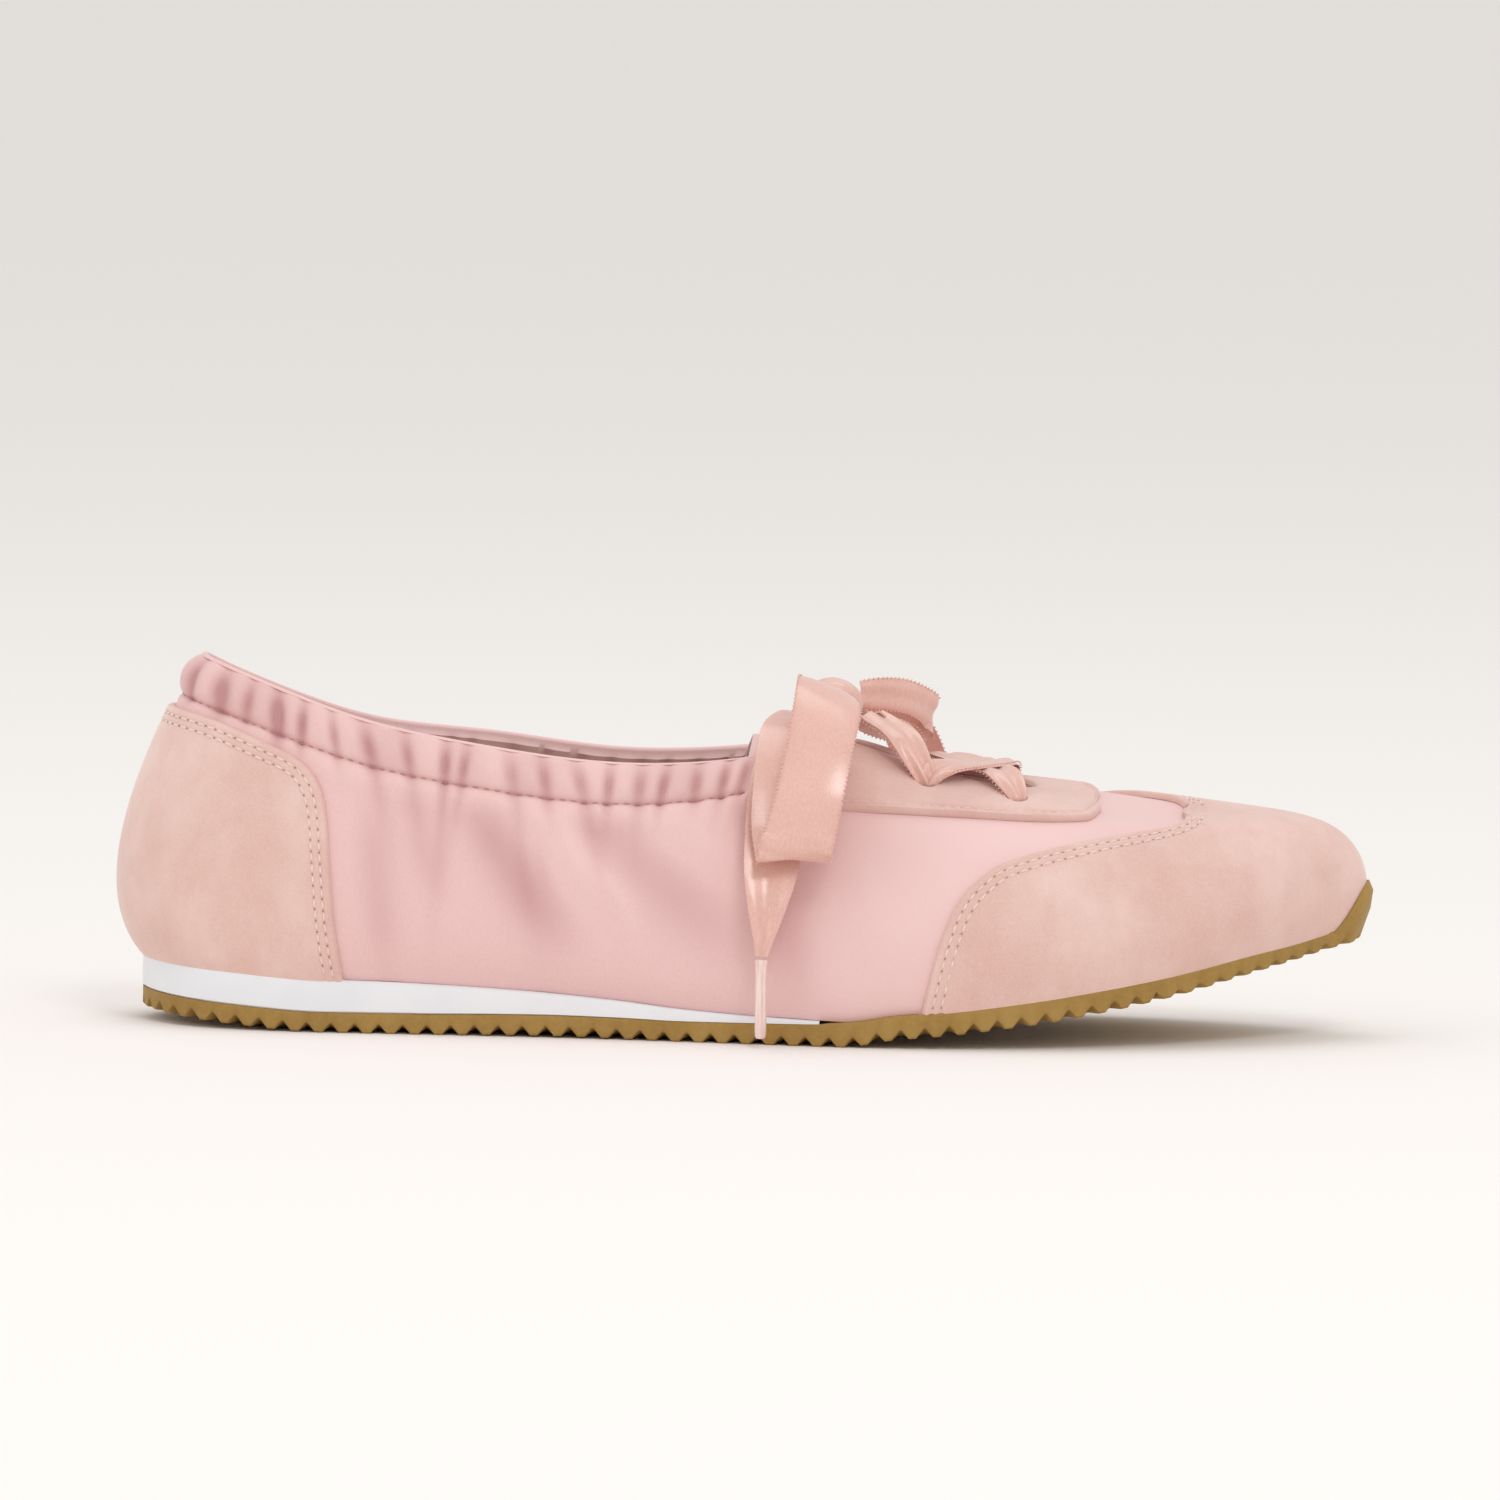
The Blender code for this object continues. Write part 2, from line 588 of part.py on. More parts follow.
def shell(name, grids, off, thickness, look, home, outward, thin=None):
    """Solidifies grids of (turn, v) places that lie off the upper's face.

    A grid is a list of columns, one a station, of equal count. thin maps a
    place to a share of the thickness.
    """
    points = []
    faces = []
    shares = []
    for grid in grids:
        start = len(points)
        rows = len(grid[0])
        for column_of in grid:
            for turn, v, extra in column_of:
                points.append(skin(turn, v, off + extra))
                shares.append(1.0 if thin is None else thin(turn, v))
        for i in range(len(grid) - 1):
            for j in range(rows - 1):
                a = start + i * rows + j
                faces.append((a, a + rows, a + rows + 1, a + 1))
    made = add(name, points, faces, look, home, closed=False)
    solid = made.modifiers.new("wall", "SOLIDIFY")
    solid.thickness = thickness
    solid.offset = 1 if outward else -1
    solid.use_rim = True
    if thin is not None:
        weights = made.vertex_groups.new(name="wall")
        lookup = {}
        for point, share in zip(points, shares):
            lookup[tuple(round(c, 5) for c in place(point))] = share
        for vertex in made.data.vertices:
            key = tuple(round(c, 5) for c in vertex.co)
            weights.add([vertex.index], lookup.get(key, min(shares)), "REPLACE")
        solid.vertex_group = "wall"
    bake(made)
    return made


def cut(target, cutters, kind="DIFFERENCE"):
    for cutter in cutters:
        step = target.modifiers.new(cutter.name, "BOOLEAN")
        step.operation = kind
        step.solver = "EXACT"
        step.object = cutter
    bake(target)


def steps(low, high, count):
    return [low + (high - low) * i / count for i in range(count + 1)]


def throat_stations():
    """Stations round the front of the throat, closer where it turns."""
    return [station_at_top(THROAT_END - THROAT_ROUND * f) for f in (1.0, 0.55, 0.2, 0.05, 0.0)]


def upper_stations():
    """Stations of one side: close at heel, throat front and toe."""
    found = set()
    for row in range(LAST):
        parts = 2 if 4 <= row < 9 else 3
        for part in range(parts):
            found.add(row + part / parts)
    found.add(LAST)
    found.update(throat_stations())
    found.add(station_at_top(CASING_FRONT))
    found.add(station_at_top(EYESTAY_REAR - GAP))
    return sorted(found)


def has_casing(turn):
    return LENGTH * TOP_X(turn) < CASING_FRONT + GAP


def over_bridge(turn):
    """Places past the top, which fall together where the throat is open."""
    return [(turn, 1 + bridged(turn) * f, 0.0) for f in (0.5, 1.0)]


def upper_column(turn):
    """Places up one rib, with the casing's step near its top."""
    step_at = share_below_top(turn, CASING_DEPTH)
    past = share_below_top(turn, CASING_DEPTH - CASING_STEP)
    out = CASING_STEP if has_casing(turn) else 0.0
    places = [(turn, v, 0.0) for v in steps(0, step_at, 6)]
    places += [(turn, past, out), (turn, 1.0, out)]
    return places + over_bridge(turn)


def make_upper(home):
    one_side = upper_stations()
    turns = one_side + [TURNS - s for s in one_side[-2::-1]]
    grid = [upper_column(turn) for turn in turns]

    def thin(turn, v):
        in_casing = has_casing(turn) and v > share_below_top(turn, CASING_DEPTH - CASING_STEP / 2)
        return 1.0 if in_casing else UPPER_WALL / CASING_WALL

    return shell("upper", [grid], 0.0, CASING_WALL, "satin", home, False, thin)


def sides(s_list, places):
    """Grids of both sides, a column of places for each station."""
    outer = [places(s) for s in s_list]
    inner = [places(TURNS - s) for s in s_list[::-1]]
    return [outer, inner]


def spread(turn, low, high, rows):
    """Shares from low to high that lie evenly along the rib."""
    fine = steps(low, high, rows * 4)
    run = [0.0]
    for a, b in zip(fine, fine[1:]):
        run.append(run[-1] + (rib_point(turn, b) - rib_point(turn, a)).length)
    inner = [float(np.interp(run[-1] * i / rows, run, fine)) for i in range(1, rows)]
    return [low] + inner + [high]


def column_between(low, high, rows):
    """Makes columns between two edges that are functions of the turn."""
    return lambda turn: [(turn, v, 0.0) for v in spread(turn, low(turn), high(turn), rows)]


def edge_curve(table, height):
    """Height of an overlay's edge against the place along the shoe."""
    rows = [(x * LENGTH, z * height) for x, z in table]
    return eased(rows, 1)


def meets_edge(turn, edge):
    """Share up the rib where it crosses an edge, 0 or 1 where it never does."""
    return solve(0, 2, 0, lambda v: rib_point(turn, v).z - edge(rib_point(turn, v).x))


def closing_in(low, high, parts):
    """Stations from low to high that draw closer towards high."""
    return [high - (high - low) * (1 - i / parts) ** 2 for i in range(parts + 1)]


def overlay_foot(turn):
    """Lowest share of an overlay, clear of the sole that it stands over."""
    return share_at_height(turn, foot_of(turn).z + OVERLAY_FOOT)


def make_counter(home):
    edge = edge_curve(COUNTER_EDGE, HEEL_HEIGHT)
    last = station_at_foot(COUNTER_EDGE[-1][0] * LENGTH)
    corner = station_at_foot(COUNTER_EDGE[3][0] * LENGTH)
    s_list = steps(0, corner, 8) + closing_in(corner, last, 8)[1:]

    def high(turn):
        return max(meets_edge(turn, edge), overlay_foot(turn))

    grids = sides(s_list, column_between(overlay_foot, high, 7))
    whole = grids[1][:-1] + grids[0]
    return shell("heel_counter", [whole], OVERLAY_GAP, OVERLAY, "suede", home, True)


def make_toe_cap(home):
    edge = edge_curve(CAP_EDGE, TOE_HEIGHT)
    first = station_at_foot(CAP_EDGE[0][0] * LENGTH)
    tip = station_at_top(CAP_EDGE[-1][0] * LENGTH)
    eased_in = [(1 - math.cos(math.pi * f)) / 2 for f in steps(0, 1, 17)]
    s_list = [first + (tip - first) * f for f in eased_in] + steps(tip, LAST, 10)[1:]

    def high(turn):
        s = min(turn, TURNS - turn)
        if s >= tip:
            return 2.0
        return max(meets_edge(s, edge), overlay_foot(turn))

    grids = sides(s_list, column_between(overlay_foot, high, 8))
    whole = grids[0] + grids[1][1:]
    return shell("toe_cap", [whole], OVERLAY_GAP, OVERLAY, "suede", home, True)


def make_eyestay(home):
    rear = station_at_top(EYESTAY_REAR)
    front = station_at_top(EYESTAY_FRONT)
    rounded = throat_stations()
    s_list = steps(rear, rounded[0], 8) + rounded[1:] + steps(rounded[-1], front, 3)[1:]

    edge = edge_curve(EYESTAY_EDGE, INSTEP_HEIGHT)

    def places(turn):
        below = spread(turn, meets_edge(min(turn, TURNS - turn), edge), 1, 3)
        return [(turn, v, 0.0) for v in below] + over_bridge(turn)

    return shell("eyestay", sides(s_list, places), OVERLAY_GAP, OVERLAY, "suede", home, True)


def make_tongue(home):
    """A sheet under the throat, arched from side to side."""
    inside = UPPER_WALL + GAP * 3
    rings = []
    for s in steps(station_at_top(TONGUE_REAR), station_at_top(TONGUE_FRONT), 14):
        row = []
        for turn in (s, TURNS - s):
            edge = share_below_top(turn, TONGUE_OVERLAP)
            row.append([skin(turn, v, -inside) for v in steps(edge, 1, 3)])
        outer, inner = row
        top = outer + [skin(s, 2, -inside)] + inner[::-1]
        below = [p - Vector((0, 0, TONGUE_THICKNESS)) for p in top]
        rings.append(top + below[::-1])
    return loft("tongue", rings, "lining", home)


def sole_edge(turn, off):
    """Plan of the sole: the feather line moved outward on the level."""
    foot = foot_of(turn)
    out = level_out(turn)
    return Vector((foot.x, foot.y, 0)) + out * off, out


def toe_share(turn):
    """1 at the toe tip and 0 a bumper's reach away from it."""
    s = min(turn, TURNS - turn)
    away = (foot_of(s) - foot_of(LAST)).length / BUMPER_REACH
    return max(0.0, 1 - away**2)


@lru_cache(maxsize=None)
def feather_run():
    """Stations of one side and how far each lies along the feather line."""
    fine = steps(0, LAST, 480)
    run = [0.0]
    for a, b in zip(fine, fine[1:]):
        run.append(run[-1] + (foot_of(b) - foot_of(a)).length)
    return fine, run


def sole_turns(places):
    """Stations of one side at shares of the feather line from the heel."""
    fine, run = feather_run()
    return lambda flip: [side_turn(flip, np.interp(p * run[-1], run, fine)) for p in places]


def side_turn(flip, s):
    return TURNS - s if flip else s


EDGE = OVERLAY_GAP + OVERLAY  # the sole's edge is flush with the overlays
BUMPER_IN = EDGE + 3 * GAP  # slack for the toe cap's curve
BUMPER_OUT = BUMPER_IN + BUMPER_WALL


def bumper(turn, rise, wrap):
    """Outer face, then inner face with its foot, of the gum that wraps the toe cap."""
    foot = foot_of(turn)
    outer_side = []
    inner_side = []
    for share in (0, 0.5, 1):
        v = share_at_height(turn, foot.z + rise * share)
        side = rib_point(turn, v)
        facing = normal(turn, v)
        inner = side + facing * BUMPER_IN
        if share == 0:
            inner.z = floor_of_gum(foot.x)
        else:
            outer_side.append(side + facing * (EDGE + (BUMPER_OUT - EDGE) * wrap))
        inner_side.append(inner)
    return outer_side, inner_side


def make_outsole(home):
    teeth = round(feather_run()[1][-1] / TOOTH_PITCH)
    marks = [(k + part) / teeth for k in range(teeth) for part in (0, TOOTH_LAND, (1 + TOOTH_LAND) / 2)]
    marks.append(1.0)
    turns = sole_turns(marks)
    outer = turns(False)
    inner = turns(True)
    rings = []
    for i, pair in enumerate(zip(outer, inner)):
        half = []
        for turn in pair:
            share = toe_share(turn)
            wrap = min(1, share * BUMPER_SWELL)
            foot = foot_of(turn)
            edge, out = sole_edge(turn, EDGE + (BUMPER_OUT - EDGE) * wrap)
            root = TOOTH_DEPTH if i % 3 == 2 else 0.0
            if foot.x > LENGTH * TOE_TEETH:
                root *= TOE_TOOTH_SHARE
            low_out = Vector((edge.x, edge.y, tread(foot.x) + root))
            low_in = edge - out * TOOTH_REACH
            low_in.z = tread(low_in.x)
            rise = BUMPER_RISE * (share - BUMPER_START) / (1 - BUMPER_START)
            if rise > 0:
                outer_side, inner_side = bumper(turn, rise, wrap)
            else:
                corner = Vector((edge.x, edge.y, floor_of_gum(foot.x)))
                outer_side = [corner, corner]
                inner_side = [corner, corner, corner]
            half.append([low_in, low_out] + outer_side + inner_side[::-1])
        rings.append(half[0] + half[1][::-1])
    return loft("outsole", rings, "gum", home, capped=False)


def make_midsole(home):
    edges = []
    for flip in (False, True):
        end = solve(0, LAST, MIDSOLE_END, lambda s: foot_of(side_turn(flip, s)).x)
        edges.append([side_turn(flip, s) for s in steps(0, end, 24)])
    rings = []
    for pair in zip(*edges):
        half = []
        for turn in pair:
            edge = sole_edge(turn, EDGE)[0]
            foot = foot_of(turn)
            high = foot.z - GAP
            low = high - MIDSOLE_THICKNESS * FOAM(foot.x / LENGTH)
            half.append([Vector((edge.x, edge.y, low)), Vector((edge.x, edge.y, high))])
        rings.append(half[0] + half[1][::-1])
    return loft("midsole", rings, "foam", home)


def make_insole(home):
    turns = sole_turns(steps(0, 1, 30))
    inside = -(UPPER_WALL + GAP * 2)
    rings = []
    for pair in zip(turns(False), turns(True)):
        half = []
        for turn in pair:
            edge = sole_edge(turn, inside)[0]
            low = foot_of(turn).z
            half.append([Vector((edge.x, edge.y, low)), Vector((edge.x, edge.y, low + INSOLE_THICKNESS))])
        rings.append(half[0] + half[1][::-1])
    return loft("insole", rings, "lining", home, capped=False)


def eyelet_cutters(home):
    cutters = []
    for x in EYELET_PLACES:
        s = station_at_top(x)
        for turn in (s, TURNS - s):
            v = share_below_top(turn, EYELET_EDGE)
            middle = Vector(place(rib_point(turn, v)))
            work = bmesh.new()
            bmesh.ops.create_cone(
                work, cap_ends=True, segments=12, radius1=EYELET / 2, radius2=EYELET / 2, depth=0.012
            )
            mesh = bpy.data.meshes.new("eyelet_cutter")
            work.to_mesh(mesh)
            work.free()
            cutter = bpy.data.objects.new(f"eyelet_cutter_{len(cutters)}", mesh)
            cutter.rotation_mode = "QUATERNION"
            cutter.rotation_quaternion = normal(turn, v).to_track_quat("Z", "Y")
            cutter.location = middle
            cutter.hide_render = True
            cutter.display_type = "WIRE"
            home.objects.link(cutter)
            cutters.append(cutter)
    return cutters


def band(name, rows, look, home):
    """A flat ribbon along rows of place, width direction and width."""
    middles = [Vector(row[:3]) for row in rows]
    rings = []
    for i, row in enumerate(rows):
        run = middles[min(i + 1, len(rows) - 1)] - middles[max(i - 1, 0)]
        run.normalize()
        wide = Vector(row[3:6])
        wide = (wide - run * wide.dot(run)).normalized() * row[6] / 2
        thick = wide.cross(run).normalized() * RIBBON_THICKNESS / 2
        centre = middles[i]
        lower = [centre - wide - thick, centre + wide - thick]
        upper = [centre + wide + thick, centre - wide + thick]
        rings.append(lower + upper)
    return loft(name, rings, look, home)


def make_crossing(name, rows, other_rows, home, spare):
    """Two strands that cross, joined where they meet."""
    made = band(name, rows, "ribbon", home)
    other = band(name + "_strand", other_rows, "ribbon", spare)
    other.hide_render = True
    other.display_type = "WIRE"
    cut(made, [other], "UNION")


def make_knot(home):
    work = bmesh.new()
    bmesh.ops.create_icosphere(work, subdivisions=2, radius=0.5)
    for vertex in work.verts:
        vertex.co = Vector([c * size for c, size in zip(vertex.co, KNOT_SIZE)])
    mesh = bpy.data.meshes.new("bow_knot")
    work.to_mesh(mesh)
    work.free()
    made = bpy.data.objects.new("bow_knot", mesh)
    made.location = place(KNOT)
    made.data.materials.append(material("ribbon"))
    made.data.shade_smooth()
    home.objects.link(made)
    return made


def make_aglet(name, rows, home):
    """A clear tube that hangs straight on from the tail's end."""
    end = Vector(rows[-1][:3])
    high = end.z - GAP - RIBBON_THICKNESS / 4
    work = bmesh.new()
    bmesh.ops.create_cone(
        work, cap_ends=True, segments=12, radius1=AGLET / 2 * 0.85, radius2=AGLET / 2, depth=AGLET_LENGTH
    )
    mesh = bpy.data.meshes.new(name)
    work.to_mesh(mesh)
    work.free()
    made = bpy.data.objects.new(name, mesh)
    made.location = place((end.x, end.y, high - AGLET_LENGTH / 2))
    made.data.materials.append(material("clear_tip"))
    made.data.shade_smooth()
    made.data.set_sharp_from_angle(angle=math.radians(40))
    home.objects.link(made)
    return made


def build():
    clear_scene()
    shoe = collection("ballet_sneaker")
    spare = collection("cutters")
    make_outsole(shoe)
    make_midsole(shoe)
    make_insole(shoe)
    upper = make_upper(shoe)
    make_counter(shoe)
    make_toe_cap(shoe)
    eyestay = make_eyestay(shoe)
    make_tongue(shoe)
    holes = eyelet_cutters(spare)
    bpy.context.view_layer.update()
    cut(upper, holes)
    cut(eyestay, holes)
    make_crossing("lace_cross_front", CROSSINGS[0], CROSSINGS[1], shoe, spare)
    make_crossing("lace_cross_rear", CROSSINGS[2], CROSSINGS[3], shoe, spare)
    make_knot(shoe)
    band("bow_loop_near", LOOP_NEAR, "ribbon", shoe)
    band("bow_loop_far", LOOP_FAR, "ribbon", shoe)
    band("lace_end_near", END_NEAR, "ribbon", shoe)
    band("lace_end_far", END_FAR, "ribbon", shoe)
    make_aglet("aglet_near", END_NEAR, shoe)
    make_aglet("aglet_far", END_FAR, shoe)


build()
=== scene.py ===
"""Dressed model of a satin ballet sneaker with ribbon laces, right shoe.

Metres, +Z up, +X to the toe, -Y to the outer side. The upper's surface is worked
out as in the part: ribs rise from the feather line to the collar rim, the
throat and the crest of the vamp, and everything laid on the upper uses it.
"""
import math
from functools import lru_cache

import bpy
import bmesh
import numpy as np
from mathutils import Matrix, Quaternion, Vector


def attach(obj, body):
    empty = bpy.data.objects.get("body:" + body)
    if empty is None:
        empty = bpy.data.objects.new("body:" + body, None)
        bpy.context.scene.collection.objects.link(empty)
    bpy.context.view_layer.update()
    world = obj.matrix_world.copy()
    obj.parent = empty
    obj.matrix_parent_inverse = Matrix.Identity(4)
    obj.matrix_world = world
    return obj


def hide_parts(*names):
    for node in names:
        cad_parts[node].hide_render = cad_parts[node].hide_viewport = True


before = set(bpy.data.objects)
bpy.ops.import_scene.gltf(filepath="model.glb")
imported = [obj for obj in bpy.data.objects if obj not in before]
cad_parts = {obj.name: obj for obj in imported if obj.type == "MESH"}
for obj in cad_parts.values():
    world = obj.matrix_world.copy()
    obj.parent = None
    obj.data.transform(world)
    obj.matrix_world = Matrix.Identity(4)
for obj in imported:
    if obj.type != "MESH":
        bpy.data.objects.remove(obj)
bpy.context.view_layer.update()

# Driving dimensions, in metres
LENGTH = 0.262  # heel bulge to the tip of the toe bumper
HALF_BALL = 0.042  # middle of the shoe to the feather line at the ball
HEEL_HEIGHT = 0.076  # floor to the collar rim over the heel
INSTEP_HEIGHT = 0.060  # floor to the top eyelets
TOE_HEIGHT = 0.048  # floor to the crest of the vamp before the toe cap
TOE_SPRING = 0.0224  # floor to the tread under the toe tip
OUTSOLE_THICKNESS = 0.0042
MIDSOLE_THICKNESS = 0.0068  # at the heel, tapering to nothing before the ball
MIDSOLE_END = 0.146  # heel bulge to the front edge of the midsole
UPPER_WALL = 0.0016
CASING_WALL = 0.0028  # elastic collar casing, lining and foam
CASING_DEPTH = 0.009
CASING_FRONT = 0.131  # heel bulge to the casing's front end
OVERLAY = 0.0012  # suede
OVERLAY_GAP = 0.0003
OVERLAY_FOOT = 0.00015  # overlays end this far above the upper's own foot
GAP = 0.0003  # between pieces that lie against each other
TOOTH_PITCH = 0.005
TOOTH_DEPTH = 0.0017
TOOTH_LAND = 0.3  # share of a tooth that is flat
TOOTH_REACH = 0.008  # from the sole's edge inward
BUMPER_RISE = 0.0085  # gum above the feather line at the toe tip
BUMPER_REACH = 0.0105  # each way from the toe tip, along the edge
BUMPER_WALL = 0.0014
BUMPER_SWELL = 1.3  # how soon the bumper reaches its full thickness
BUMPER_CURVE = 1.5
BUMPER_START = 0.15  # share of the reach that stays flush with the feather line
TOE_TEETH = 0.82  # share of LENGTH past which the teeth are shallower
TOE_TOOTH_SHARE = 0.6  # of TOOTH_DEPTH
THROAT_END = 0.190  # heel bulge to the front of the throat
THROAT_ROUND = 0.008  # length of the throat's rounded front
EYELET = 0.0046  # diameter
EYELET_EDGE = 0.0068  # throat edge to the middle of an eyelet
EYELET_PLACES = (0.148, 0.167, 0.185)  # heel bulge to each pair
EYESTAY_REAR = 0.134
EYESTAY_FRONT = 0.2035
TONGUE_THICKNESS = 0.002
TONGUE_OVERLAP = 0.012  # under the upper, each side of the throat
TONGUE_FRONT = 0.198
TONGUE_REAR = 0.130
RIBBON_THICKNESS = 0.0009
AGLET = 0.0028  # diameter
HEEL_REST = 0.052  # heel bulge to the middle of the heel's flat spot

# One row a section, from the heel back to the toe tip. Lengths along the shoe
# are shares of LENGTH, widths are shares of HALF_BALL. The top's height is in
# metres, from the named heights. The half gap is that of collar and throat, and
# runs on along the vamp, where a bridge closes it. Tilt is the rise of the
# throat and the vamp towards the inner side, for each unit of width.
SECTIONS = (
    # outer foot x, y, inner foot x, y, top x, middle y, half gap, tilt, top height
    (0.0240, 0.000, 0.0240, 0.000, 0.0610, 0.000, 0.000, 0.00, 1.000 * HEEL_HEIGHT),
    (0.0374, 0.286, 0.0374, 0.271, 0.0706, 0.000, 0.171, -0.04, 0.984 * HEEL_HEIGHT),
    (0.0725, 0.507, 0.0725, 0.481, 0.1030, 0.000, 0.300, -0.06, 0.937 * HEEL_HEIGHT),
    (0.1298, 0.624, 0.1300, 0.586, 0.1470, 0.000, 0.400, -0.06, 0.879 * HEEL_HEIGHT),
    (0.1985, 0.657, 0.1985, 0.600, 0.2100, 0.000, 0.476, -0.04, 0.817 * HEEL_HEIGHT),
    (0.2900, 0.681, 0.2900, 0.538, 0.2980, 0.000, 0.531, 0.00, 0.982 * INSTEP_HEIGHT),
    (0.3890, 0.743, 0.3890, 0.495, 0.3930, 0.000, 0.514, 0.00, 0.937 * INSTEP_HEIGHT),
    (0.4885, 0.848, 0.4810, 0.590, 0.4905, 0.000, 0.410, 0.00, 0.957 * INSTEP_HEIGHT),
    (0.5650, 0.936, 0.5570, 0.748, 0.5687, -0.012, 0.205, 0.00, 0.993 * INSTEP_HEIGHT),
    (0.6336, 0.983, 0.6260, 0.871, 0.6336, -0.043, 0.171, 0.04, 0.913 * INSTEP_HEIGHT),
    (0.7023, 0.957, 0.6950, 0.919, 0.7023, -0.081, 0.148, 0.09, 0.858 * INSTEP_HEIGHT),
    (0.7630, 0.876, 0.7560, 0.890, 0.7595, -0.110, 0.143, 0.16, 0.820 * INSTEP_HEIGHT),
    (0.8240, 0.724, 0.8170, 0.814, 0.8090, -0.124, 0.133, 0.20, 0.979 * TOE_HEIGHT),
    (0.8820, 0.514, 0.8740, 0.676, 0.8590, -0.100, 0.119, 0.18, 0.958 * TOE_HEIGHT),
    (0.9310, 0.252, 0.9240, 0.490, 0.9010, -0.029, 0.095, 0.10, 0.950 * TOE_HEIGHT),
    (0.9620, 0.052, 0.9600, 0.300, 0.9290, 0.038, 0.055, 0.03, 0.938 * TOE_HEIGHT),
    (0.9756, -0.119, 0.9756, 0.119, 0.9430, 0.083, 0.000, 0.00, 0.921 * TOE_HEIGHT),
)

# How each rib leaves the foot and reaches the top. Out is a share of
# HALF_BALL, up and drop are shares of the rib's height.
RIBS = (
    # outer side: foot out, foot up, head out, head drop; inner side: the same
    (0.317, 0.216, 0.262, 0.352, 0.317, 0.216, 0.262, 0.352),
    (0.286, 0.226, 0.250, 0.355, 0.286, 0.226, 0.250, 0.355),
    (0.214, 0.250, 0.202, 0.368, 0.214, 0.250, 0.202, 0.368),
    (0.167, 0.265, 0.155, 0.372, 0.167, 0.265, 0.155, 0.372),
    (0.167, 0.269, 0.167, 0.365, 0.167, 0.269, 0.167, 0.365),
    (0.202, 0.262, 0.190, 0.323, 0.190, 0.282, 0.167, 0.323),
    (0.214, 0.245, 0.214, 0.286, 0.214, 0.286, 0.190, 0.286),
    (0.190, 0.250, 0.262, 0.192, 0.214, 0.288, 0.214, 0.212),
    (0.167, 0.278, 0.381, 0.111, 0.190, 0.315, 0.357, 0.130),
    (0.143, 0.377, 0.452, 0.090, 0.167, 0.397, 0.429, 0.060),
    (0.143, 0.452, 0.476, 0.080, 0.143, 0.500, 0.476, -0.030),
    (0.143, 0.460, 0.476, 0.086, 0.119, 0.540, 0.476, -0.086),
    (0.143, 0.430, 0.405, 0.105, 0.119, 0.600, 0.476, -0.123),
    (0.143, 0.390, 0.357, 0.096, 0.119, 0.500, 0.405, -0.109),
    (0.119, 0.320, 0.310, 0.060, 0.119, 0.380, 0.333, -0.045),
    (0.119, 0.270, 0.286, 0.120, 0.119, 0.270, 0.286, 0.038),
    (0.119, 0.250, 0.286, 0.120, 0.119, 0.250, 0.286, 0.120),
)

# The sole from heel to toe: place as a share of LENGTH, tread lift as a share
# of TOE_SPRING, midsole and outsole as shares of their thickness.
SOLE = (
    (0.000, 0.150, 0.93, 0.95),
    (0.050, 0.095, 0.99, 0.93),
    (0.095, 0.050, 1.00, 0.95),
    (0.168, 0.000, 0.97, 0.98),
    (0.237, 0.000, 0.90, 1.00),
    (0.300, 0.012, 0.76, 1.00),
    (0.345, 0.018, 0.64, 1.00),
    (0.400, 0.012, 0.49, 1.00),
    (0.445, 0.000, 0.35, 1.00),
    (0.492, 0.000, 0.21, 1.03),
    (0.545, 0.000, 0.09, 1.08),
    (0.573, 0.000, 0.03, 1.12),
    (0.615, 0.080, 0.00, 1.12),
    (0.653, 0.125, 0.00, 1.10),
    (0.700, 0.196, 0.00, 1.10),
    (0.748, 0.281, 0.00, 1.10),
    (0.828, 0.464, 0.00, 1.02),
    (0.891, 0.652, 0.00, 0.92),
    (0.940, 0.790, 0.00, 0.80),
    (0.970, 0.885, 0.00, 0.80),
    (1.000, 1.000, 0.00, 0.80),
)

# Front edge of the heel counter, top to bottom: place as a share of LENGTH,
# height as a share of HEEL_HEIGHT.
COUNTER_EDGE = (
    (0.030, 0.866),
    (0.070, 0.835),
    (0.115, 0.776),
    (0.140, 0.738),
    (0.153, 0.700),
    (0.161, 0.650),
    (0.165, 0.590),
    (0.168, 0.480),
    (0.172, 0.326),
    (0.182, 0.120),
)

# Rear edge of the toe cap, from the feather line to the tip of its U: place as
# a share of LENGTH, height as a share of TOE_HEIGHT.
CAP_EDGE = (
    (0.634, 0.100),
    (0.643, 0.319),
    (0.651, 0.475),
    (0.658, 0.573),
    (0.667, 0.652),
    (0.679, 0.715),
    (0.694, 0.771),
    (0.715, 0.810),
    (0.745, 0.850),
    (0.789, 0.890),
    (0.817, 0.905),
    (0.838, 0.925),
    (0.847, 0.953),
)

# Lower edge of the eyestay from the rear, on the upper's own face: place as a
# share of LENGTH, height as a share of INSTEP_HEIGHT.
EYESTAY_EDGE = (
    (0.500, 0.790),
    (0.575, 0.788),
    (0.660, 0.775),
    (0.740, 0.762),
    (0.765, 0.764),
    (0.778, 0.790),
)

LAST = len(SECTIONS) - 1
TURNS = 2 * LAST
STEP = 0.01  # for slopes, as a share of a section and of a rib
RUN_STEPS = 480  # places on a side where a run is measured


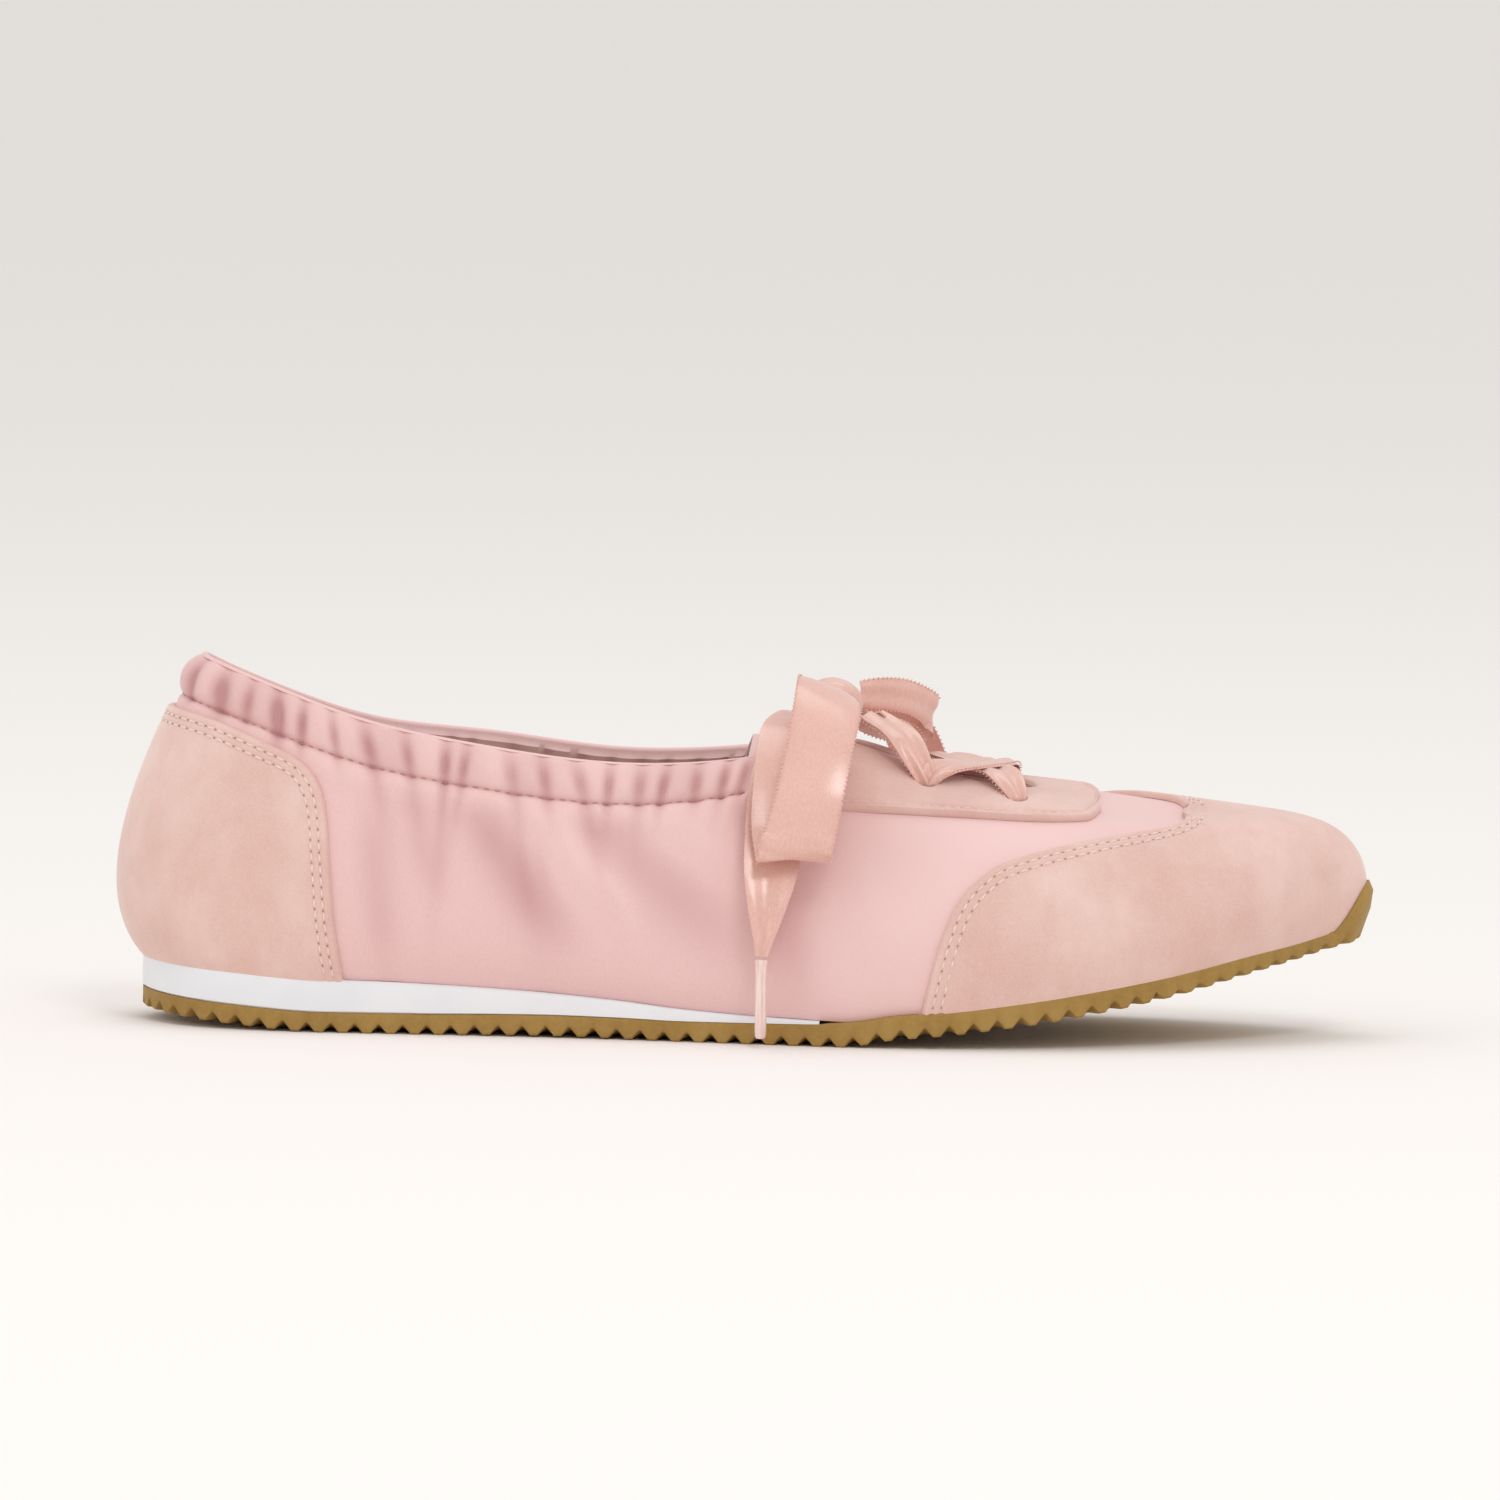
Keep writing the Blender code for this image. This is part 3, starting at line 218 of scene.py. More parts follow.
def loop_spline(values):
    """A smooth closed curve through values that are one step apart."""
    values = np.array(values, float)
    count = len(values)
    bends = np.zeros((count, count))
    for i in range(count):
        bends[i, i] = 4
        bends[i, i - 1] = 1
        bends[i, (i + 1) % count] = 1
    right = 6 * (np.roll(values, 1) - 2 * values + np.roll(values, -1))
    second = np.linalg.solve(bends, right).tolist()
    values = values.tolist()

    def at(turn):
        turn = turn % count
        i = int(turn) % count
        j = (i + 1) % count
        f = turn - int(turn)
        g = 1 - f
        curve = (second[i] * g**3 + second[j] * f**3) / 6
        return curve + (values[i] - second[i] / 6) * g + (values[j] - second[j] / 6) * f

    return at


def even(column):
    """A column that both sides of the shoe share."""
    column = list(column)
    return loop_spline(column + column[-2:0:-1])


def two_sided(outer, inner):
    """Columns of the outer and the inner side, joined round heel and toe."""
    return loop_spline(list(outer) + list(inner)[-2:0:-1])


def column(table, index):
    return [row[index] for row in table]


def eased(table, index):
    """A curve through one column against the first, flat where it is flat."""
    xs = np.array(column(table, 0), float)
    ys = np.array(column(table, index), float)
    runs = np.diff(xs)
    slopes = np.diff(ys) / runs
    turns = np.zeros(len(xs))
    for i in range(1, len(xs) - 1):
        if slopes[i - 1] * slopes[i] > 0:
            a = 2 * runs[i] + runs[i - 1]
            b = runs[i] + 2 * runs[i - 1]
            turns[i] = (a + b) / (a / slopes[i - 1] + b / slopes[i])
    turns[0] = slopes[0]
    turns[-1] = slopes[-1]

    def at(x):
        x = min(max(x, xs[0]), xs[-1])
        i = min(int(np.searchsorted(xs, x, side="right")) - 1, len(runs) - 1)
        t = (x - xs[i]) / runs[i]
        h = runs[i]
        rise = (2 * t**3 - 3 * t**2 + 1) * ys[i] + (t**3 - 2 * t**2 + t) * h * turns[i]
        return rise + (3 * t**2 - 2 * t**3) * ys[i + 1] + (t**3 - t**2) * h * turns[i + 1]

    return at


LIFT = eased(SOLE, 1)
FOAM = eased(SOLE, 2)
GUM = eased(SOLE, 3)


def tread(x):
    """Height of the tread's lands."""
    return TOE_SPRING * LIFT(x / LENGTH)


def feather(x):
    """Height of the line where the upper meets the sole."""
    share = x / LENGTH
    return tread(x) + OUTSOLE_THICKNESS * GUM(share) + MIDSOLE_THICKNESS * FOAM(share)


def floor_of_gum(x):
    """Top of the outsole inside its edge: under the midsole, then under the upper."""
    under_foam = feather(x) - MIDSOLE_THICKNESS * FOAM(x / LENGTH) - GAP
    past = min(max((x - MIDSOLE_END) / TOOTH_PITCH, 0), 1)
    return under_foam + (feather(x) - under_foam) * past


FOOT_X = two_sided(column(SECTIONS, 0), column(SECTIONS, 2))
FOOT_Y = two_sided([-y for y in column(SECTIONS, 1)], column(SECTIONS, 3))
TOP_X = even(column(SECTIONS, 4))
MIDDLE_Y = even(column(SECTIONS, 5))
GAP_Y = two_sided([-y for y in column(SECTIONS, 6)], column(SECTIONS, 6))
TILT = even(column(SECTIONS, 7))
TOP_Z = even(column(SECTIONS, 8))
FOOT_OUT = two_sided(column(RIBS, 0), column(RIBS, 4))
FOOT_UP = two_sided(column(RIBS, 1), column(RIBS, 5))
HEAD_OUT = two_sided(column(RIBS, 2), column(RIBS, 6))
HEAD_DROP = two_sided(column(RIBS, 3), column(RIBS, 7))


def bridged(turn):
    """How far the bridge reaches from the throat's edge to the middle, 0 to 1."""
    past = (LENGTH * TOP_X(turn) - THROAT_END + THROAT_ROUND) / THROAT_ROUND
    return 1 - math.sqrt(1 - min(max(past, 0), 1) ** 2)


def foot_of(turn):
    x = LENGTH * FOOT_X(turn)
    return Vector((x, HALF_BALL * FOOT_Y(turn), feather(x) + GAP))


def top_of(turn):
    away = HALF_BALL * GAP_Y(turn)
    y = HALF_BALL * MIDDLE_Y(turn) + away
    return Vector((LENGTH * TOP_X(turn), y, TOP_Z(turn) + TILT(turn) * away))


def level_out(turn):
    """Outward from the feather line, on the level."""
    run = foot_of(turn + STEP) - foot_of(turn - STEP)
    return Vector((run.y, -run.x, 0)).normalized()


def bezier(ends, v):
    first, low, high, last = ends
    w = 1 - v
    return first * w**3 + low * 3 * v * w**2 + high * 3 * v**2 * w + last * v**3


@lru_cache(maxsize=None)
def rib(turn):
    """Foot, two handles and top of one rib."""
    foot = foot_of(turn)
    top = top_of(turn)
    out = level_out(turn)
    height = top.z - foot.z
    low = foot + out * HALF_BALL * FOOT_OUT(turn)
    low.z += height * FOOT_UP(turn)
    high = top + out * HALF_BALL * HEAD_OUT(turn)
    high.z -= height * HEAD_DROP(turn)
    return foot, low, high, top


@lru_cache(maxsize=None)
def bridge(s):
    """From the outer top over the middle to the inner top, at one station."""
    outer, outer_high = rib(s)[3], rib(s)[2]
    inner, inner_high = rib(TURNS - s)[3], rib(TURNS - s)[2]
    reach = (inner - outer).length / 3
    low = outer + (outer - outer_high).normalized() * reach
    high = inner + (inner - inner_high).normalized() * reach
    return outer, low, high, inner


def rib_point(turn, v):
    """A point of the upper's outer face.

    v is 0 at the feather line and 1 at the rim or the throat's edge. From 1 to
    2 it runs on over the bridge, to the middle of the vamp.
    """
    if v <= 1:
        return bezier(rib(turn), v)
    if turn <= LAST:
        return bezier(bridge(turn), (v - 1) / 2)
    return bezier(bridge(TURNS - turn), (3 - v) / 2)


def slope_normal(turn, v):
    side = (0, 1) if v <= 1 else (1, 2)
    low, high = max(v - STEP, side[0]), min(v + STEP, side[1])
    along = rib_point(turn + STEP, v) - rib_point(turn - STEP, v)
    up = rib_point(turn, high) - rib_point(turn, low)
    return along.cross(up).normalized()


def normal(turn, v):
    """Outward normal. Both sides agree on it along the middle of the vamp."""
    turn = min(max(turn, STEP), TURNS - STEP) if v > 1 else turn
    here = slope_normal(turn, v)
    if v == 2:
        here = (here + slope_normal(TURNS - turn, v)).normalized()
    return here


def solve(low, high, wanted, value):
    """Where a rising function reaches the wanted value."""
    for _ in range(40):
        middle = (low + high) / 2
        if value(middle) < wanted:
            low = middle
        else:
            high = middle
    return (low + high) / 2


def station_at_top(x):
    return solve(0, LAST, x, lambda s: LENGTH * TOP_X(s))


def station_at_foot(x):
    return solve(0, LAST, x, lambda s: LENGTH * FOOT_X(s))


def run_of(places):
    """Distance along a line of places, at each of them."""
    run = [0.0]
    for a, b in zip(places, places[1:]):
        run.append(run[-1] + (b - a).length)
    return run


def steps(low, high, count):
    return [low + (high - low) * i / count for i in range(count + 1)]


def rib_length(turn, v_from, v_to, pieces=8):
    return run_of([rib_point(turn, v) for v in steps(v_from, v_to, pieces)])[-1]


@lru_cache(maxsize=None)
def share_below_top(turn, depth):
    """The v that lies a given way down the rib from its top."""
    return solve(0, 1, -depth, lambda v: -rib_length(turn, v, 1))


def share_at_height(turn, z):
    return solve(0, 1, z, lambda v: rib_point(turn, v).z)


HEEL_SHIFT = np.array((HEEL_REST, 0, 0))


def place(point):
    """From the heel bulge to the shoe's origin under the heel's flat spot."""
    return (point[0] - HEEL_REST, point[1], point[2])


def throat_stations():
    """Stations round the front of the throat, closer where it turns."""
    return [station_at_top(THROAT_END - THROAT_ROUND * f) for f in (1.0, 0.55, 0.2, 0.05, 0.0)]


def edge_curve(table, height):
    """Height of an overlay's edge against the place along the shoe."""
    rows = [(x * LENGTH, z * height) for x, z in table]
    return eased(rows, 1)


def meets_edge(turn, edge):
    """Share up the rib where it crosses an edge, 0 or 1 where it never does."""
    return solve(0, 2, 0, lambda v: rib_point(turn, v).z - edge(rib_point(turn, v).x))


def closing_in(low, high, parts):
    """Stations from low to high that draw closer towards high."""
    return [high - (high - low) * (1 - i / parts) ** 2 for i in range(parts + 1)]


def overlay_foot(turn):
    """Lowest share of an overlay, clear of the sole that it stands over."""
    return share_at_height(turn, foot_of(turn).z + OVERLAY_FOOT)


def sole_edge(turn, off):
    """Plan of the sole: the feather line moved outward on the level."""
    foot = foot_of(turn)
    out = level_out(turn)
    return Vector((foot.x, foot.y, 0)) + out * off, out


def toe_share(turn):
    """1 at the toe tip and 0 a bumper's reach away from it."""
    s = min(turn, TURNS - turn)
    away = (foot_of(s) - foot_of(LAST)).length / BUMPER_REACH
    return max(0.0, 1 - away**2)


@lru_cache(maxsize=None)
def feather_run():
    """Stations of one side and how far each lies along the feather line."""
    fine = steps(0, LAST, RUN_STEPS)
    return fine, run_of([foot_of(s) for s in fine])


def sole_turns(places):
    """Stations of one side at shares of the feather line from the heel."""
    fine, run = feather_run()
    return lambda flip: [side_turn(flip, np.interp(p * run[-1], run, fine)) for p in places]


def side_turn(flip, s):
    return TURNS - s if flip else s


EDGE = OVERLAY_GAP + OVERLAY  # the sole's edge is flush with the overlays
BUMPER_IN = EDGE + GAP / 3
BUMPER_OUT = BUMPER_IN + BUMPER_WALL


def bumper(turn, rise, wrap):
    """Outer face, then inner face with its foot, of the gum that wraps the toe cap."""
    foot = foot_of(turn)
    outer_side = []
    inner_side = []
    for share, full in ((0, 1), (0.45, 1), (0.8, 0.9), (1, 0.35)):
        v = share_at_height(turn, foot.z + rise * share)
        side = rib_point(turn, v)
        facing = normal(turn, v)
        inner = side + facing * BUMPER_IN
        if share == 0:
            inner.z = floor_of_gum(foot.x)
        else:
            outer_side.append(side + facing * (EDGE + (BUMPER_OUT - EDGE) * wrap * full))
        inner_side.append(inner)
    return outer_side, inner_side


RIBBON_COLUMNS = (0, 1, 2, 6)  # those of a ribbon's row that are lengths


def in_metres(lengths, *rows):
    """Rows whose columns named in lengths are given in millimetres."""
    return [[v / 1000 if k in lengths else v for k, v in enumerate(row)] for row in rows]


# Crossings of the ribbon over the throat. Places are given from the
# heel bulge and the floor, in millimetres. Columns: x, y, z, then the way that
# the ribbon's width runs, and its width.
CROSSINGS = (
    in_metres(
        RIBBON_COLUMNS,
        (185, -15, 52.6, 0.5, 0.3, 0.1, 6), (183, -11.5, 54.6, 0.6, 0.4, 0, 8.5),
        (179.5, -6.5, 55.6, 0.7, 0.6, 0, 11), (176, -1, 56.3, 0.7, 0.6, 0, 11),
        (172.2, 4.5, 57, 0.7, 0.6, 0, 10), (168.8, 8.8, 57, 0.6, 0.4, -0.1, 8),
        (166.8, 11, 56.4, 0.5, 0.3, -0.1, 6),
    ),
    in_metres(
        RIBBON_COLUMNS,
        (184.6, 8.5, 55, 0.5, -0.3, 0, 6), (183.2, 6, 56, 0.6, -0.4, 0, 8.5),
        (180, 1, 56.3, 0.7, -0.6, 0, 11), (176.5, -4.5, 56.3, 0.7, -0.6, 0, 11),
        (172.7, -10, 56.6, 0.7, -0.6, -0.1, 10), (169.2, -14, 56.2, 0.6, -0.4, -0.2, 8),
        (167.4, -15.8, 55.5, 0.5, -0.3, -0.2, 6),
    ),
    in_metres(
        RIBBON_COLUMNS,
        (165.6, -15.2, 57.1, 0.6, 0.2, 0.1, 6), (162.5, -11.8, 61.4, 0.6, 0.4, 0, 8),
        (157.5, -7, 64.8, 0.6, 0.5, 0, 9), (155, -4.6, 66.3, 0.6, 0.5, 0, 8),
    ),
    in_metres(
        RIBBON_COLUMNS,
        (165.6, 11.4, 58.6, 0.6, -0.2, 0.1, 6), (162.5, 7.6, 62.2, 0.6, -0.4, 0, 8),
        (157.5, 2, 65, 0.6, -0.5, 0, 9), (155, -2, 66.3, 0.6, -0.5, 0, 8),
    ),
)

# Ribbon of the bow, with the same columns as the crossings.
LOOP_NEAR = in_metres(
    RIBBON_COLUMNS,
    (145, -11, 69, 1, -0.1, 0.1, 8), (146.2, -16, 72.2, 1, -0.1, -0.3, 11),
    (146.6, -22.5, 72.8, 1, -0.1, -0.4, 13.5), (146.4, -30, 69.8, 1, -0.1, -0.3, 14),
    (145, -37, 62.5, 1, -0.1, -0.1, 13.8), (143.2, -42.5, 53.5, 1, -0.1, 0, 13.8),
    (141.4, -45.2, 45.5, 1, -0.1, 0, 14.5), (140.4, -46, 41.8, 1, -0.1, 0, 15),
    (139.6, -44, 39.3, 1, -0.1, 0, 14.8), (138.8, -41.8, 41, 1, -0.1, 0, 14),
    (137.8, -39.2, 47, 1, -0.1, 0, 13.5), (137.8, -33.5, 56, 1, -0.1, 0, 12.5),
    (138.5, -25, 64, 1, -0.1, 0, 11.5), (140.5, -16.5, 66.8, 1, -0.1, 0, 9),
    (142.5, -11.2, 66.8, 1, -0.1, 0, 7),
)
LOOP_FAR = in_metres(
    RIBBON_COLUMNS,
    (153.5, 4.4, 69.5, 0.3, 0.3, 0.8, 6), (158, 6.4, 69.6, 0.2, 0.2, 0.9, 6.8),
    (163.2, 10, 68.9, 0.1, 0.3, 0.9, 7.2), (166.8, 13.8, 67, 0.2, 0.3, 0.9, 7.4),
    (168.6, 17, 65, 0.3, 0.2, 0.9, 7.8), (167.2, 18.6, 63.2, 0.2, 0.2, 0.9, 8),
    (163, 17, 62.6, 0.1, 0.2, 0.9, 8), (158, 13.4, 63.2, 0.1, 0.2, 0.9, 7.2),
    (153.5, 9.8, 64.4, 0.2, 0.2, 0.8, 5.8),
)
END_NEAR = in_metres(
    RIBBON_COLUMNS,
    (140, -8.5, 62.5, 1, 0, 0.1, 7), (138.5, -16.5, 61.2, 1, 0, 0.1, 9),
    (137, -24.5, 57, 1, 0, 0.1, 11), (136.2, -32, 50, 1, 0, 0.1, 12), (135.8, -36.6, 43, 1, 0, 0, 12),
    (135.2, -40.8, 36, 1, 0, 0, 11), (134.5, -44, 29, 1, 0, 0, 8), (134, -45.6, 23, 1, 0, 0, 4.5),
    (133.6, -46, 19, 1, 0, 0, 2.6),
)
END_FAR = in_metres(
    RIBBON_COLUMNS,
    (150, 10.8, 65, 1, 0.2, 0.2, 5), (154.5, 17.2, 64.5, 0.9, -0.2, 0.3, 7),
    (159, 22.5, 64, 0.8, -0.3, 0.4, 9), (162.8, 26.6, 61.8, 0.8, -0.3, 0.4, 10.5),
    (165.5, 30.8, 56.8, 0.9, -0.3, 0.2, 11.5), (167, 35.2, 50.5, 1, -0.2, 0.1, 12),
    (167.8, 39.6, 42.5, 1, -0.2, 0, 12), (168, 43.8, 34, 1, -0.1, 0, 10),
    (167.8, 46.2, 26.5, 1, -0.1, 0, 6.5), (167.5, 46.8, 20.5, 1, -0.1, 0, 3.5),
    (167.4, 46.8, 19, 1, -0.1, 0, 2.6),
)
AGLET_LENGTH = 0.0165
KNOT = (0.1475, -0.0028, 0.0690)
KNOT_SIZE = (0.0125, 0.0125, 0.0085)

# Camera: a long lens 3 m off the outer side, 4.5 degrees up, rolled 1 degree
VIEW_WIDTH = 0.3125  # the photo's 1500 pixels at 4.8 a millimetre
VIEW_CENTRE = (0.0785, 0.0, 0.0579)
VIEW_AWAY = 3.0
VIEW_UP = math.radians(4.5)
VIEW_ROLL = math.radians(1.0)
SENSOR = 36.0


def linked(name, data):
    made = bpy.data.objects.new(name, data)
    bpy.context.scene.collection.objects.link(made)
    return made


def make_camera():
    data = bpy.data.cameras.new("camera")
    data.sensor_width = SENSOR
    data.lens = SENSOR * VIEW_AWAY / VIEW_WIDTH
    made = linked("camera", data)
    away = Vector((0, -math.cos(VIEW_UP), math.sin(VIEW_UP)))
    made.location = Vector(VIEW_CENTRE) + away * VIEW_AWAY
    made.rotation_mode = "QUATERNION"
    made.rotation_quaternion = Quaternion(away, VIEW_ROLL) @ away.to_track_quat("Z", "Y")
    bpy.context.scene.camera = made


class Look:
    """A node material: a Principled shader and the nodes that feed it."""

    def __init__(self, name, **fixed):
        self.material = bpy.data.materials.new(name)
        self.material.use_nodes = True
        self.tree = self.material.node_tree
        self.shader = self.tree.nodes["Principled BSDF"]
        for socket, value in fixed.items():
            self.shader.inputs[socket.replace("_", " ")].default_value = value
        self.spot = self.add("ShaderNodeTexCoord").outputs["Object"]

    def add(self, kind, settings=(), **fed):
        made = self.tree.nodes.new(kind)
        for key, value in dict(settings).items():
            setattr(made, key, value)
        for socket, value in fed.items():
            self.feed(made.inputs[socket.replace("_", " ")], value)
        return made

    def feed(self, socket, value):
        if isinstance(value, bpy.types.NodeSocket):
            self.tree.links.new(value, socket)
        else:
            socket.default_value = value

    def stretched(self, factors, turned=(0, 0, 0)):
        made = self.add("ShaderNodeMapping", Vector=self.spot, Scale=factors, Rotation=turned)
        return made.outputs["Vector"]

    def noise(self, scale, detail=3.0, rough=0.5, vector=None):
        made = self.add(
            "ShaderNodeTexNoise", Vector=vector or self.spot, Scale=scale, Detail=detail, Roughness=rough
        )
        return made.outputs["Fac"]

    def remap(self, value, low, high, new_low, new_high):
        made = self.add("ShaderNodeMapRange", Value=value)
        for i, number in enumerate((low, high, new_low, new_high)):
            made.inputs[i + 1].default_value = number
        return made.outputs["Result"]

    def blend(self, share, first, second):
        made = self.add("ShaderNodeMix", {"data_type": "RGBA"})
        self.feed(made.inputs["Factor"], share)
        for socket, value in ((made.inputs[6], first), (made.inputs[7], second)):
            self.feed(socket, value if isinstance(value, bpy.types.NodeSocket) else (*value, 1))
        return made.outputs[2]

    def layer(self, base, source, limits, most, colour):
        """A colour laid over the base where the source lies high in its limits."""
        return self.blend(self.remap(source, *limits, 0, most), base, colour)

    def paint_shade(self, base, most, colour):
        """A darker colour laid over the base where the mesh's 'fold' mark says: painted shade."""
        return self.blend(self.math("MULTIPLY", self.mark("fold"), most), base, colour)

    def math(self, kind, first, second):
        made = self.add("ShaderNodeMath", {"operation": kind})
        self.feed(made.inputs[0], first)
        self.feed(made.inputs[1], second)
        return made.outputs[0]

    def bump(self, height, strength, distance, before=None):
        made = self.add("ShaderNodeBump", Height=height, Strength=strength, Distance=distance)
        if before is not None:
            self.feed(made.inputs["Normal"], before)
        return made.outputs["Normal"]

    def mark(self, name):
        return self.add("ShaderNodeAttribute", {"attribute_name": name}).outputs["Fac"]

    def along(self, low, high):
        x = self.add("ShaderNodeSeparateXYZ", Vector=self.spot).outputs["X"]
        return self.remap(x, low, high, 0, 1)

    def done(self, colour, roughness=None, normal=None):
        self.feed(self.shader.inputs["Base Color"], colour)
        if roughness is not None:
            self.feed(self.shader.inputs["Roughness"], roughness)
        if normal is not None:
            self.feed(self.shader.inputs["Normal"], normal)
        return self.material


WAVE_PITCH = 0.314  # between the waves of a wave texture whose scale is 1


def weave(look, pitch):
    """Threads that cross, from two waves."""
    heights = []
    for direction in ("X", "Z"):
        made = look.add(
            "ShaderNodeTexWave", {"bands_direction": direction}, Vector=look.spot,
            Scale=WAVE_PITCH / pitch, Distortion=0.4, Detail=1.0,
        )
        heights.append(made.outputs["Fac"])
    return look.math("MULTIPLY", *heights)


def satin_look():
    look = Look(
        "satin", Roughness=0.46, Sheen_Weight=0.45, Sheen_Roughness=0.35, Specular_IOR_Level=0.45,
        Sheen_Tint=(1.0, 0.86, 0.84, 1),
    )
    cloud = look.noise(28, 4)
    thread = look.noise(2600, 2, 0.6, look.stretched((1, 1, 0.5)))
    hatch = look.noise(900, 2, 0.6, look.stretched((0.5, 1, 2.2), (0, 0.6, 0)))
    # Painted light: the satin is lighter towards the vamp, where more light falls on it.
    vamp_light = look.along(0.045, 0.125)
    base = look.blend(vamp_light, (0.84, 0.54, 0.525), (0.86, 0.58, 0.565))
    base = look.layer(base, cloud, (0.35, 0.7), 0.5, (0.83, 0.545, 0.53))
    base = look.layer(base, thread, (0.35, 0.68), 0.5, (0.86, 0.62, 0.6))
    # Painted shade in the gathers, folds, seam's dip and eyelet pits, along the casing, inside the shoe and
    # on the tongue.
    base = look.paint_shade(base, 0.75, (0.44, 0.17, 0.18))
    normal = look.bump(thread, 0.1, 0.0003)
    normal = look.bump(hatch, 0.09, 0.0004, normal)
    return look.done(base, look.remap(cloud, 0.3, 0.7, 0.42, 0.52), normal)


def suede_look():
    look = Look(
        "suede", Roughness=0.95, Sheen_Weight=0.7, Sheen_Roughness=0.5, Specular_IOR_Level=0.12,
        Sheen_Tint=(1.0, 0.9, 0.86, 1),
    )
    cloud = look.noise(45, 5, 0.6)
    brushed = look.noise(120, 4, 0.6, look.stretched((1, 1, 0.45), (0, 0.5, 0)))
    nap = look.noise(2400, 3, 0.7)
    base = look.layer((0.7, 0.43, 0.37), cloud, (0.32, 0.7), 1, (0.83, 0.59, 0.53))
    base = look.layer(base, brushed, (0.42, 0.72), 0.55, (0.69, 0.39, 0.335))
    base = look.layer(base, nap, (0.3, 0.7), 0.4, (0.9, 0.68, 0.61))
    # Painted shade along the overlays' edges, their stitch rows and the eyestay's turned edge
    base = look.paint_shade(base, 0.6, (0.56, 0.27, 0.24))
    normal = look.bump(nap, 0.22, 0.0004)
    normal = look.bump(brushed, 0.08, 0.001, normal)
    return look.done(base, None, normal)


def ribbon_look():
    look = Look(
        "ribbon", Roughness=0.3, Sheen_Weight=0.3, Sheen_Roughness=0.3, Specular_IOR_Level=0.85,
        Sheen_Tint=(1.0, 0.88, 0.82, 1),
    )
    thread = look.noise(2800, 2, 0.6, look.stretched((1, 1, 0.25)))
    cloud = look.noise(60, 3)
    base = look.layer((0.735, 0.43, 0.36), cloud, (0.35, 0.7), 1, (0.79, 0.485, 0.415))
    # Painted shade in the pleats' hollows, on the ribbon's back face and over the knot
    base = look.paint_shade(base, 0.7, (0.7, 0.3, 0.235))
    base = look.layer(base, thread, (0.35, 0.65), 0.25, (0.95, 0.69, 0.6))
    return look.done(base, look.remap(cloud, 0.3, 0.7, 0.2, 0.28), look.bump(thread, 0.1, 0.0003))


def gum_look():
    look = Look("gum", Roughness=0.62, Specular_IOR_Level=0.35)
    cloud = look.noise(70, 4)
    fine = look.noise(900, 3)
    base = look.layer((0.33, 0.185, 0.038), cloud, (0.35, 0.7), 1, (0.4, 0.24, 0.06))
    base = look.layer(base, fine, (0.4, 0.7), 0.3, (0.47, 0.31, 0.11))
    # Painted shade under the tread and in the notches between the teeth
    base = look.paint_shade(base, 0.8, (0.22, 0.115, 0.02))
    return look.done(base, look.remap(fine, 0.3, 0.7, 0.52, 0.68), look.bump(fine, 0.12, 0.0003))


def foam_look():
    look = Look("foam", Roughness=0.5, Specular_IOR_Level=0.35)
    fine = look.noise(1500, 3)
    cloud = look.noise(50, 3)
    base = look.layer((0.8, 0.815, 0.85), cloud, (0.3, 0.7), 1, (0.87, 0.88, 0.905))
    return look.done(base, look.remap(fine, 0.3, 0.7, 0.42, 0.55), look.bump(fine, 0.08, 0.0002))


def lining_look():
    look = Look("lining", Roughness=0.9, Sheen_Weight=0.2, Specular_IOR_Level=0.2)
    cross = weave(look, 0.0006)
    cloud = look.noise(60, 3)
    base = look.layer((0.6, 0.51, 0.38), cloud, (0.3, 0.7), 1, (0.68, 0.59, 0.46))
    base = look.layer(base, cross, (0, 0.7), 0.5, (0.76, 0.68, 0.56))
    return look.done(base, None, look.bump(cross, 0.3, 0.0003))


def thread_look(name, low, high):
    look = Look(name, Roughness=0.6, Sheen_Weight=0.3)
    twist = look.noise(4000, 2, 0.5, look.stretched((1, 1, 3)))
    base = look.blend(look.remap(twist, 0.3, 0.7, 0, 1), low, high)
    return look.done(base, None, look.bump(twist, 0.3, 0.0001))


def clear_look():
    look = Look("clear_tip", Roughness=0.14, Coat_Weight=0.7, Coat_Roughness=0.08, Specular_IOR_Level=0.6)
    rib = look.noise(1800, 2, 0.5, look.stretched((1, 1, 0.06)))
    base = look.layer((0.8, 0.52, 0.47), rib, (0.35, 0.65), 1, (0.93, 0.76, 0.72))
    return look.done(base, None, look.bump(rib, 0.25, 0.0003))


MERGE = 1e-6  # places closer than this are one
NO_AREA = 1e-7


def finish_piece(name, points, faces, looks, slot, nodes=(), marks=None, kinds=None, smooth=40):
    """A piece at the origin, its places in metres of the frame."""
    mesh = bpy.data.meshes.new(name)
    mesh.from_pydata([tuple(p) for p in points], [], [tuple(int(i) for i in f) for f in faces])
    for look in looks:
        mesh.materials.append(look)
    if kinds is not None:
        mesh.polygons.foreach_set("material_index", kinds)
    # The 'fold' attribute holds painted shade, 0 to 1, which each look lays over its colour as a darker tone.
    if marks is not None:
        layer = mesh.attributes.new("fold", "FLOAT", "POINT")
        layer.data.foreach_set("value", np.clip(marks, 0, 1).astype(float))
    work = bmesh.new()
    work.from_mesh(mesh)
    bmesh.ops.remove_doubles(work, verts=work.verts, dist=MERGE)
    bmesh.ops.dissolve_degenerate(work, edges=work.edges, dist=NO_AREA)
    work.to_mesh(mesh)
    work.free()
    mesh.shade_smooth()
    mesh.set_sharp_from_angle(angle=math.radians(smooth))
    made = linked(name, mesh)
    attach(made, "root")
    if nodes:
        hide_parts(*nodes)
    return made


def grid_faces(cols, rows, start=0):
    corners = [start + i * rows + j for i in range(cols - 1) for j in range(rows - 1)]
    return [(a, a + rows, a + rows + 1, a + 1) for a in corners]


